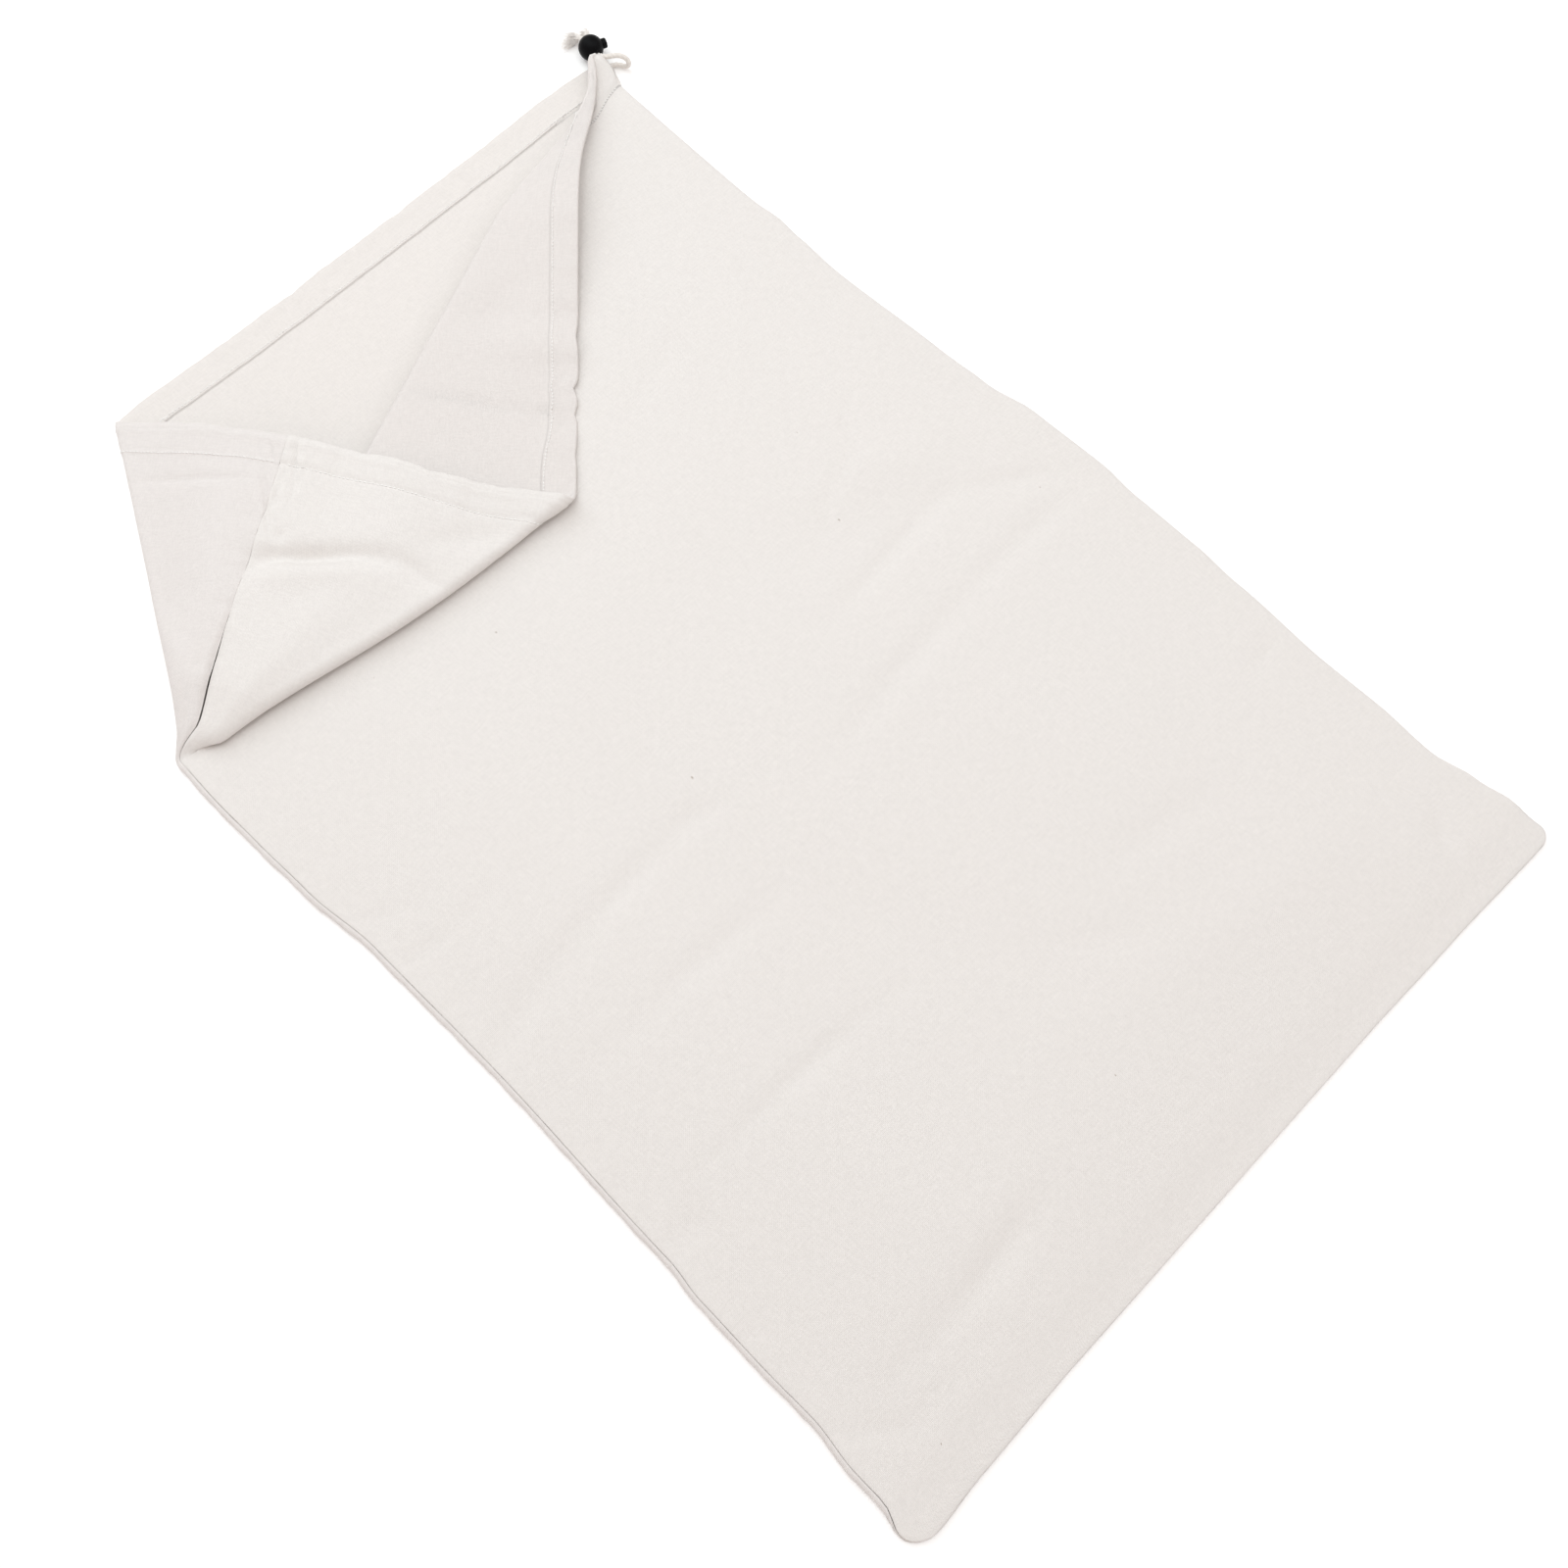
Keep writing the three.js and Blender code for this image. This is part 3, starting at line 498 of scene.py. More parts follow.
def squeezed(x, y, turned):
    """Moves the turned cloth beside the mouth's right end toward its mouth edge."""
    toward_x, toward_y = SQUEEZE["heading"]
    away_x, away_y = x - SQUEEZE["at"][0], y - SQUEEZE["at"][1]
    along = away_x * toward_x + away_y * toward_y
    aside = away_x * toward_y - away_y * toward_x
    share = mix(SQUEEZE["narrow"], 1, smooth(SQUEEZE["start"], SQUEEZE["end"], along))
    lean = LEAN["out"] * bump(along, LEAN["at"], LEAN["reach"]) * turned
    shift = -np.maximum(aside, 0) * (1 - share) - lean
    return x + toward_y * shift, y - toward_x * shift


def front_place(u, v):
    v = nicked(u, v, FRONT_NICKS, FRONT_SAG)
    rho, psi = polar(u, v)
    turns_back = (v > PIVOT) & (WIDTH - u > SEAM_INSET)
    folded = np.where(turns_back, begun(rho), 0.0)
    place = mix(front_flat(u, v), front_folded(u, v), folded[:, None])
    x, y = uneven_place(place[:, 0], place[:, 1])
    x, y = squeezed(x, y, smooth(FIRST_CREASE + LEAN["from"], FIRST_CREASE + LEAN["to"], psi) * folded)
    on_flap = smooth(SECOND_CREASE, SECOND_CREASE / 2, psi) * folded
    at_slit = (SEAM_SLIT["times"] - 1) * bump(rho, SEAM_SLIT["at"], SEAM_SLIT["reach"]) * on_flap
    at_corner = (CORNER_SLIT["times"] - 1) * bump(v, CORNER_SLIT["at"], CORNER_SLIT["reach"])
    parting = 1 + (at_slit + at_corner) * bump(u, 0, SLIT_WIDTH)
    height = place[:, 2] + peak(x, y, u)
    return np.stack([x + SEAM_GAP[0] * parting, y + SEAM_GAP[1] * parting * on_flap, height], 1)


def back_flat(u, v):
    along, lift = side_turn(u, v)
    return np.stack([along, v, mix(FLOOR_LAYER, top_height(along, v), lift)], 1)


def back_roll(rho):
    """Height of the back panel's fold, which is pressed low near the mouth."""
    seam = SEAM_HEADING
    full = flap_height(SEAM_INSET + rho * math.sin(seam), PIVOT + rho * math.cos(seam), rho)
    return mix(full, BACK_ROLL["height"], smooth(BACK_ROLL["start"], BACK_ROLL["end"], rho))


def back_reach(rho):
    """Half the cloth in the turn of the back panel's crease."""
    return np.minimum(turn_reach(back_roll(rho) - FLOOR_LAYER), MOST_OF_TURN * rho * BACK_CREASE)


def back_folded(u, v):
    """The back panel with its corner turned back over the front panel's."""
    rho, psi = polar(u, v)
    along, lift = fold_over(rho * psi, rho * BACK_CREASE, back_reach(rho))
    past = clamp01((BACK_CREASE - psi) / BACK_CREASE)
    climb = smooth(0, BACK_ROLL["climbs_over"], past)
    angle = along / rho - BACK_SLANT * past
    x = SEAM_INSET * climb + rho * np.sin(angle)
    y = PIVOT + rho * np.cos(angle)
    height = mix(back_roll(rho), flap_height(x, y, rho), climb)
    height = height + pucker(u, v) + creased(x, y, FLAP_CREASES) + seam_valley(rho, psi)
    return np.stack([x, y, mix(FLOOR_LAYER, height, lift)], 1)


def back_place(u, v):
    v = nicked(u, v, BACK_NICKS, BACK_SAG)
    folded = np.where(v > PIVOT, begun(polar(u, v)[0]), 0.0)
    place = mix(back_flat(u, v), back_folded(u, v), folded[:, None])
    x, y = uneven_place(place[:, 0], place[:, 1])
    return np.stack([x, y, place[:, 2]], 1)


# Small relief of the cloth itself
RIPPLES = ((0.0095, 0.00011), (0.0140, 0.00016), (0.0230, 0.00022), (0.0370, 0.00025))
RIPPLE_DRIFT = {"swing": 0.7, "pitches": 3.1}
HEM_RIPPLE_REACH = 0.030
SEAM_RIPPLE = {"reach": 0.016, "share": 0.7, "shift": 2, "start": 0.02, "full": 0.08}
SEAM_ROUND = {"reach": 0.0011, "share": 0.5, "less": 0.35, "less_from": PIVOT + 0.10, "less_to": PIVOT + 0.13}
CORD_RIDGE = {"from_mouth": 0.0048, "reach": 0.0036, "height": 0.0011}
CORD_UNEVEN = {"least": 0.65, "swing": 0.35, "long": 0.031, "short": 0.012, "shift": 1.3}
LIP_GROOVE = {"from_mouth": 0.0046, "reach": 0.0011, "height": -0.0007, "start": 0.050, "end": 0.270}
LIP_FADES = 0.03
STITCH = {"pitch": 0.0028, "length": 0.0023, "radius": 0.00042, "proud": 0.00030, "from_mouth": 0.0228}
HEM_GROOVE = {"reach": 0.0014, "height": -0.00045}
HEM_PUFF = {"height": 0.0007, "start": 0.005, "end": 0.006}
CORNER_PUFF = {"height": 0.0011, "start": 0.575, "end": 0.590}
HEM_SAG = {"start": 0.535, "low": 0.548, "end": 0.590, "deep": 0.026, "left": 0.010}
HEM_RISE = {"start": 0.215, "full": 0.260, "fades": 0.490, "end": 0.535, "height": 0.0052}
FINE_STEP = 0.0002


def front_hem(u):
    """Where the front's hem stitches run; they sag beside the fold at the mouth's right end."""
    sag = HEM_SAG["deep"] * smooth(HEM_SAG["start"], HEM_SAG["low"], u)
    rise = (HEM_SAG["deep"] - HEM_SAG["left"]) * smooth(HEM_SAG["low"], HEM_SAG["end"], u)
    narrow = smooth(HEM_RISE["start"], HEM_RISE["full"], u)
    narrow = narrow * (1 - smooth(HEM_RISE["fades"], HEM_RISE["end"], u))
    return LENGTH - STITCH["from_mouth"] - sag + rise + HEM_RISE["height"] * narrow


def back_hem(u):
    return LENGTH - STITCH["from_mouth"] + 0 * u


def ripples(along, shift):
    """Uneven waves along a line of stitches."""
    height = 0
    for row, (pitch, swing) in enumerate(RIPPLES, 1):
        drift = RIPPLE_DRIFT["swing"] * np.sin(along / (RIPPLE_DRIFT["pitches"] * pitch))
        height = height + swing * np.sin(2 * math.pi * along / pitch + shift * row + drift)
    return height


def relief(u, v, side):
    """How far the cloth's middle surface is pushed out along its normal by its stitching."""
    at_seam = bump(u, 0, SEAM_RIPPLE["reach"]) * smooth(SEAM_RIPPLE["start"], SEAM_RIPPLE["full"], v)
    along_hem = ripples(u, side["shift"]) * bump(LENGTH - v, 0, HEM_RIPPLE_REACH)
    along_seam = SEAM_RIPPLE["share"] * ripples(v, side["shift"] + SEAM_RIPPLE["shift"]) * at_seam
    groove = HEM_GROOVE["height"] * bump(v, side["hem"](u), HEM_GROOVE["reach"]) * (u < HEM_SAG["start"])
    return along_hem + along_seam + groove


def seam_lip(u, v):
    """Share of the cloth's thickness that is rounded away at a seam."""
    from_seam = np.minimum(np.minimum(u, WIDTH - u), v)
    flat = smooth(SEAM_ROUND["less_from"], SEAM_ROUND["less_to"], v) * (u < WIDTH / 2)
    return (SEAM_ROUND["share"] - SEAM_ROUND["less"] * flat) * bump(from_seam, 0, SEAM_ROUND["reach"])


def cord_ridge(u, v):
    """The cord in its channel pushes the hem out near the mouth."""
    swing = np.sin(u / CORD_UNEVEN["long"] + CORD_UNEVEN["shift"]) * np.sin(u / CORD_UNEVEN["short"])
    height = CORD_RIDGE["height"] * (CORD_UNEVEN["least"] + CORD_UNEVEN["swing"] * swing)
    return height * bump(LENGTH - v, CORD_RIDGE["from_mouth"], CORD_RIDGE["reach"])


def hem_puff(u, v, side):
    """The doubled cloth of the hem stands a little proud between its stitches and the mouth."""
    line = side["hem"](u)
    inside_hem = smooth(line, line + HEM_PUFF["start"], v) * (1 - smooth(LENGTH - HEM_PUFF["end"], LENGTH, v))
    at_corner = smooth(CORNER_PUFF["start"], CORNER_PUFF["end"], u)
    return (HEM_PUFF["height"] + CORNER_PUFF["height"] * at_corner) * inside_hem


def lip_groove(u, v):
    along = smooth(LIP_GROOVE["start"], LIP_GROOVE["start"] + LIP_FADES, u)
    along = along * (1 - smooth(LIP_GROOVE["end"] - LIP_FADES, LIP_GROOVE["end"], u))
    return LIP_GROOVE["height"] * along * bump(LENGTH - v, LIP_GROOVE["from_mouth"], LIP_GROOVE["reach"])


def outer_half(u, v, side):
    """Thickness of the cloth from its middle surface to its outside."""
    return CLOTH / 2 * (1 - seam_lip(u, v)) + cord_ridge(u, v) + hem_puff(u, v, side) + lip_groove(u, v)


def inner_half(u, v, side):
    """Thickness of the cloth from its middle surface to its inside, with the hem's turned-in edge."""
    edge = np.maximum(side["hem"](u), LENGTH - STITCH["from_mouth"]) + STITCH["from_mouth"] - HEM_DEPTH
    in_hem = HEM_EXTRA * smooth(edge, edge + HEM_STEP, v)
    return CLOTH / 2 + (in_hem + cord_ridge(u, v) / 2) * smooth(0, 2 * SEAM_INSET, WIDTH - u)


def unit(vectors):
    return vectors / np.maximum(np.linalg.norm(vectors, axis=-1, keepdims=True), 1e-12)


def directions_at(place, u, v):
    """The cloth's direction across the bag, and its normal on the side that is up while it lies flat."""
    across = place(u + FINE_STEP, v) - place(u - FINE_STEP, v)
    up = place(u, v + FINE_STEP) - place(u, v - FINE_STEP)
    return unit(across), unit(np.cross(across, up))


# What sets the two panels apart; upper and lower are the sides that face up and down where they lie flat
FRONT = {"place": front_place, "hem": front_hem, "shift": 0.4, "upper": outer_half, "lower": inner_half}
BACK = {"place": back_place, "hem": back_hem, "shift": 2.9, "upper": inner_half, "lower": outer_half}


# Panel mesh: first columns by distance from P, then by share of the distance to the rim; rows by
# height below P, and above it by rays that fan out from P
NEAR_COLUMNS = (0, 0.0007, 0.0014, 0.0025, 0.004, 0.0052, 0.0066, 0.0085, 0.011, 0.014, 0.017, 0.0202, 0.0236)
MID_COLUMNS = (0.0274, 0.0318, 0.037, 0.042)
INNER_SHARES = tuple(np.linspace(0.195, 0.894, 84))
HEM_SHARES = (0.8995, 0.9005, 0.9015, 0.9025, 0.905, 0.9075, 0.910, 0.914, 0.922, 0.931, 0.940, 0.949, 0.958)
LIP_SHARES = (0.966, 0.973, 0.978, 0.982)
SIDE_SHARES = (0.9855, 0.9885, 0.991, 0.9933, 0.9957, 0.9976, 0.9989, 1.0)
FLAT_ROWS = (0, 0.0007, 0.0015, 0.003, 0.005, 0.0075, 0.0105, 0.014, 0.018, 0.023, 0.029, 0.036)
ROW_STEP = 0.005
SIDE_RAYS = 40
TURN_STEPS = tuple(np.linspace(1, -1, 15))
TRIANGLE_RAYS = 84
FLAP_RAYS = 60
BACK_RAYS = 84
BACK_FLAP_RAYS = 44
CROWDS = {"side": 1.8, "flap": 1.7, "back_flap": 1.6}
RAY_ROUNDS = 12
RIM_ROUND = {"mouth": 0.00075, "least": 0.00003, "from_mouth": 0.002, "from_seam": 0.004}


def rim_distance(psi):
    """Distance from P to the panel's rim at an angle from the seam above P."""
    return min(WIDTH / max(math.sin(psi), 1e-9), RIM / max(math.cos(psi), 1e-9))


def fixed(angle):
    """A heading that is the same at every distance from P."""
    return lambda rho: angle


LEVEL = fixed(math.pi / 2)
TO_CORNER = fixed(CORNER_ANGLE)
UP_SEAM = fixed(0.0)


def across_fold(crease, reach):
    """Headings from one side of a fold to the other."""
    return [lambda rho, step=step: crease + step * reach(rho) / rho for step in TURN_STEPS]


def between(start, end, shares):
    """Headings that share out the angle between two others."""
    return [lambda rho, share=share: mix(start(rho), end(rho), share) for share in shares]


def crowded(count, crowd):
    """Steps from 0 to 1 without its ends, crowded toward 1."""
    return 1 - (1 - np.linspace(0, 1, count + 2)[1:-1]) ** crowd


def toward_mouth(start, end, count, crowd=1.0):
    """Shares of the angle between two headings, spaced along the mouth and crowded toward the end."""
    places = mix(math.tan(start), math.tan(end), crowded(count, crowd))
    return tuple((np.arctan(places) - start) / (end - start))


def toward_side():
    """Shares of the angle from the pivot's row, spaced up the right side and crowded near the mouth."""
    places = crowded(SIDE_RAYS, CROWDS["side"]) / math.tan(CORNER_ANGLE)
    return tuple((math.pi / 2 - np.arctan2(1, places)) / (math.pi / 2 - CORNER_ANGLE))


def front_headings():
    first = across_fold(FIRST_CREASE, lambda rho: turn_reach(first_rise(rho)))
    second = across_fold(SECOND_CREASE, lambda rho: turn_reach(second_rise(rho)))
    return [
        *between(LEVEL, first[0], toward_side()),
        *first,
        *between(first[-1], second[0], toward_mouth(FIRST_CREASE, SECOND_CREASE, TRIANGLE_RAYS)),
        *second,
        *between(second[-1], UP_SEAM, toward_mouth(SECOND_CREASE, 0.0, FLAP_RAYS, CROWDS["flap"])),
        UP_SEAM,
    ]


def back_headings():
    fold = across_fold(BACK_CREASE, back_reach)
    return [
        *between(LEVEL, TO_CORNER, toward_side()),
        TO_CORNER,
        *between(TO_CORNER, fold[0], toward_mouth(CORNER_ANGLE, BACK_CREASE, BACK_RAYS)),
        *fold,
        *between(fold[-1], UP_SEAM, toward_mouth(BACK_CREASE, 0.0, BACK_FLAP_RAYS, CROWDS["back_flap"])),
        UP_SEAM,
    ]


def radii(end):
    shares = (*INNER_SHARES, *HEM_SHARES, *LIP_SHARES, *SIDE_SHARES)
    return np.array([*NEAR_COLUMNS, *MID_COLUMNS, *(end * share for share in shares)])


def ray(heading):
    """A row above the pivot follows a heading that may change with the distance from P."""
    end = RIM
    for _ in range(RAY_ROUNDS):
        end = rim_distance(float(heading(end)))
    distance = radii(end)
    angle = heading(np.maximum(distance, 1e-6)) * np.ones_like(distance)
    return distance * np.sin(angle), PIVOT + distance * np.cos(angle)


def panel_grid(headings):
    """Places (u, v) of a panel's grid, by row and column."""
    heights = [*FLAT_ROWS, *np.linspace(FLAT_ROWS[-1], PIVOT, round((PIVOT - FLAT_ROWS[-1]) / ROW_STEP))[1:]]
    flat = [(radii(WIDTH), np.full(len(radii(WIDTH)), height)) for height in heights]
    u, v = zip(*flat, *map(ray, headings))
    return np.array(u), np.array(v), len(heights) - 1


def grid_faces(number):
    """Faces of a grid of numbered points, with triangles where they meet at P."""
    corners = (number[:-1, :-1], number[:-1, 1:], number[1:, 1:], number[1:, :-1])
    quads = np.stack(corners, -1).reshape(-1, 4).tolist()
    return [tuple(quad) if quad[0] != quad[3] else tuple(quad[:3]) for quad in quads]


def rim_points(middle, normal, u, v):
    """Points that round the rim off, a little outside it, wider at the mouth."""
    along = unit(np.roll(middle, -1, 0) - np.roll(middle, 1, 0))
    at_mouth = smooth(LENGTH - RIM_ROUND["from_mouth"], LENGTH, v) * smooth(0, RIM_ROUND["from_seam"], u)
    width = RIM_ROUND["mouth"] * at_mouth + RIM_ROUND["least"]
    return middle + np.cross(along, normal) * width[:, None]


def rim_faces(loop, count):
    """Faces from the upper skin over the rim's points to the lower skin."""
    faces = []
    for here, upper in enumerate(loop):
        there = (here + 1) % len(loop)
        edge, next_edge = 2 * count + here, 2 * count + there
        faces.append((upper, edge, next_edge, loop[there]))
        faces.append((edge, count + upper, count + loop[there], next_edge))
    return faces


def panel(name, headings, side, materials):
    """Closed shell of a cloth panel, with a rounded rim and a material for each of its two sides."""
    u, v, pivot_row = panel_grid(headings)
    number = np.arange(u.size).reshape(u.shape)
    number[pivot_row:, 0] = number[pivot_row, 0]
    loop = [*number[0, :], *number[1:, -1], *number[-1, -2::-1], *number[pivot_row - 1 : 0 : -1, 0]]
    loop = [int(i) for i in loop]
    u, v = u.ravel(), v.ravel()
    count = len(u)
    normal = directions_at(side["place"], u, v)[1]
    middle = side["place"](u, v) + normal * relief(u, v, side)[:, None]
    upper = middle + normal * side["upper"](u, v, side)[:, None]
    lower = middle - normal * side["lower"](u, v, side)[:, None]
    points = np.concatenate([upper, lower, rim_points(middle[loop], normal[loop], u[loop], v[loop])])
    points[:, 2] = np.maximum(points[:, 2], 0)
    top = grid_faces(number)
    bottom = [tuple(count + i for i in reversed(face)) for face in top]
    made = mesh_object(name, points + ORIGIN, top + bottom + rim_faces(loop, count), *materials)
    is_lower = np.zeros(len(made.data.polygons), np.int32)
    is_lower[len(top) : 2 * len(top)] = 1
    made.data.polygons.foreach_set("material_index", is_lower)
    u, v = np.concatenate([u, u, u[loop]]), np.concatenate([v, v, v[loop]])
    map_cloth(made.data, "cloth", u, v)
    map_cloth(made.data, "hem", u, v - side["hem"](u))
    made.data.validate()
    made.data.update()
    return made


def map_cloth(mesh, name, across, up):
    """Gives each corner of the mesh its place on the flat cloth."""
    corners = np.zeros(len(mesh.loops), np.int32)
    mesh.loops.foreach_get("vertex_index", corners)
    layer = mesh.uv_layers.new(name=name)
    layer.data.foreach_set("uv", np.stack([across[corners], up[corners]], 1).astype(np.float32).ravel())


def add(name, data):
    thing = bpy.data.objects.new(name, data)
    bpy.context.scene.collection.objects.link(thing)
    return thing


def mesh_object(name, points, faces, *materials):
    """A smooth-shaded piece."""
    mesh = bpy.data.meshes.new(name)
    mesh.from_pydata(np.asarray(points, float).tolist(), [], faces)
    for material in materials:
        mesh.materials.append(material)
    mesh.polygons.foreach_set("use_smooth", np.ones(len(mesh.polygons), bool))
    mesh.update()
    return add(name, mesh)


def corner_angles(sides):
    return 2 * math.pi * np.arange(sides) / sides


def tube_faces(rings, sides, first):
    """Faces of a closed tube whose points are numbered from the first on, ring by ring."""
    faces = []
    for low in range(first, first + (rings - 1) * sides, sides):
        for corner in range(sides):
            after = (corner + 1) % sides
            faces.append((low + corner, low + after, low + sides + after, low + sides + corner))
    last = first + (rings - 1) * sides
    return [*faces, tuple(reversed(range(first, first + sides))), tuple(range(last, last + sides))]


def tube_mesh(tubes):
    """Points and faces of closed tubes, each told by centres, two cross directions and radii of its rings."""
    points, faces = [], []
    for centres, side, up, radius in tubes:
        rings, sides = radius.shape
        angle = corner_angles(sides)[:, None]
        offset = side[:, None] * np.cos(angle) + up[:, None] * np.sin(angle)
        faces += tube_faces(rings, sides, len(points))
        points.extend((centres[:, None] + radius[:, :, None] * offset).reshape(-1, 3))
    return np.array(points), faces


def tube_piece(name, tubes, material):
    points, faces = tube_mesh(tubes)
    return mesh_object(name, points + ORIGIN, faces, material)


class Nodes:
    """A material, with short ways to make and join its nodes."""

    def __init__(self, name):
        self.material = bpy.data.materials.new(name)
        self.material.use_nodes = True
        self.tree = self.material.node_tree

    def node(self, kind, inputs, **settings):
        node = self.tree.nodes.new(kind)
        for key, value in settings.items():
            setattr(node, key, value)
        for key, value in inputs.items():
            self.feed(value, node.inputs[key])
        return node

    def feed(self, value, socket):
        """Sets a socket to a number or colour, or joins it to what another node gives."""
        if isinstance(value, tuple):
            socket.default_value = (*value, 1)
        elif isinstance(value, (int, float)):
            socket.default_value = value
        else:
            self.tree.links.new(value, socket)

    def maths(self, operation, *values):
        return self.node("ShaderNodeMath", dict(enumerate(values)), operation=operation).outputs[0]

    def plus(self, first, second):
        return self.maths("ADD", first, second)

    def times(self, first, second):
        return self.maths("MULTIPLY", first, second)

    def on_cloth(self, name):
        return self.node("ShaderNodeUVMap", {}, uv_map=name).outputs[0]

    def in_object(self):
        return self.node("ShaderNodeTexCoord", {}).outputs["Object"]

    def parts(self, vector):
        return self.node("ShaderNodeSeparateXYZ", {0: vector}).outputs

    def noise(self, vector, scale, detail=2.0, roughness=0.5):
        inputs = {"Vector": vector, "Scale": scale, "Detail": detail, "Roughness": roughness}
        return self.node("ShaderNodeTexNoise", inputs).outputs["Fac"]

    def stretched(self, vector, scale):
        node = self.node("ShaderNodeMapping", {"Vector": vector})
        node.inputs["Scale"].default_value = scale
        return node.outputs[0]

    def blend(self, factor, first, second):
        inputs = {"Factor": factor, 6: first, 7: second}
        return self.node("ShaderNodeMix", inputs, data_type="RGBA").outputs[2]

    def bumped(self, height, strength, distance, under=None):
        inputs = {"Height": height, "Strength": strength, "Distance": distance}
        if under is not None:
            inputs["Normal"] = under
        return self.node("ShaderNodeBump", inputs).outputs[0]

    def finished(self, inputs):
        """Feeds the surface shader and hands over the material."""
        for key, value in inputs.items():
            self.feed(value, self.tree.nodes["Principled BSDF"].inputs[key])
        return self.material


def shade(colour, factor):
    return tuple(channel * factor for channel in colour)


# Canvas: how far its yarns stray, their slubs, and what makes up its light and dark grain
THREAD_PITCH = 0.00085
STRAY = {"scale": 26, "reach": 0.0022}
SLUBS_ACROSS = (150, 640, 1)
SLUBS_UP = (640, 150, 1)
GRAIN = {"slubs": 0.45, "fuzz": 0.35, "crossing": 0.30, "contrast": 1.9, "mean": 0.817}
# The "line" tone is the colour of the painted shade along the hem
TONES = {"dark": 0.90, "light": 1.08, "aged": 0.985, "clouds": 0.5, "line": 0.35}
SEEDS = {"scale": 62, "stretch": (1.0, 0.45, 1), "rare": 0.86, "size": 0.044, "depth": 0.7}
CANVAS_FINISH = {"Roughness": 0.92, "Specular IOR Level": 0.18, "Sheen Weight": 0.12, "Sheen Roughness": 0.6}
THREAD_FINISH = {"Roughness": 0.9, "Specular IOR Level": 0.2, "Sheen Weight": 0.15, "Sheen Roughness": 0.6}

# Sides of the cloth: colour, then the hem's line of painted shade, which stands for the shadow in its groove,
# by its place from the stitches, half width, depth, and how much deeper it is at the mouth's right end
LINE_SHIFT = -0.0003
TURNED_IN = STITCH["from_mouth"] - HEM_DEPTH + LINE_SHIFT
CLOTH_SIDES = {
    "canvas_outside": (CANVAS_OUTSIDE, 0.0, 0.0013, 0.04, 0.55),
    "back_outside": (BACK_OUTSIDE_SHADED, 0.0, 0.0013, 0.04, 0.0),
    "front_inside": (FRONT_INSIDE_SHADED, TURNED_IN, 0.0010, 0.22, 0.0),
    "back_inside": (BACK_INSIDE, TURNED_IN, 0.0008, 0.26, 0.0),
}


def crossing_yarns(n, coordinates):
    """Height of yarns that cross over and under each other, none of them quite straight."""
    wobble = n.node("ShaderNodeTexNoise", {"Vector": coordinates, "Scale": STRAY["scale"]}).outputs["Color"]
    stray = n.node("ShaderNodeVectorMath", {0: wobble, "Scale": STRAY["reach"]}, operation="SCALE")
    placed = n.node("ShaderNodeVectorMath", {0: coordinates, 1: stray.outputs[0]}, operation="ADD")
    across, up = (n.times(part, 1 / THREAD_PITCH) for part in n.parts(placed.outputs[0])[:2])
    warp, weft = (n.maths("ABSOLUTE", n.maths("SINE", n.times(way, math.pi))) for way in (across, up))
    over = n.maths("PINGPONG", n.plus(n.maths("FLOOR", across), n.maths("FLOOR", up)), 1.0)
    return n.plus(n.times(warp, over), n.times(weft, n.maths("SUBTRACT", 1.0, over)))


def grain(n, slubs, fuzz, crossing):
    """Light and dark of the cloth's yarns."""
    tone = n.plus(n.times(slubs, GRAIN["slubs"]), n.times(fuzz, GRAIN["fuzz"]))
    tone = n.plus(tone, n.times(crossing, GRAIN["crossing"]))
    return n.maths("MULTIPLY_ADD", tone, GRAIN["contrast"], 0.5 - GRAIN["contrast"] * GRAIN["mean"])


def hem_shade_line(n, line_at, width, depth, corner_depth):
    """Strength of the painted shade line along the hem, the shadow in its groove at the stitches and the
    turned-in edge.
    """
    place = n.parts(n.on_cloth("hem"))
    off_line = n.maths("ABSOLUTE", n.maths("SUBTRACT", place[1], line_at))
    line = n.maths("MAXIMUM", n.maths("MULTIPLY_ADD", off_line, -1 / width, 1.0), 0.0)
    at_corner = n.maths("GREATER_THAN", place[0], HEM_SAG["start"])
    return n.times(line, n.maths("MULTIPLY_ADD", at_corner, corner_depth, depth))


def seed_flecks(n, coordinates):
    """Strength of the small dark seeds, which few cells of the cloth have."""
    inputs = {"Vector": n.stretched(coordinates, SEEDS["stretch"]), "Scale": SEEDS["scale"], "Randomness": 1}
    cells = n.node("ShaderNodeTexVoronoi", inputs, feature="F1").outputs
    chance = n.parts(cells["Color"])
    chosen = n.maths("GREATER_THAN", chance[0], SEEDS["rare"])
    spot = n.maths("LESS_THAN", cells["Distance"], n.times(chance[1], SEEDS["size"]))
    return n.times(n.times(chosen, spot), SEEDS["depth"])


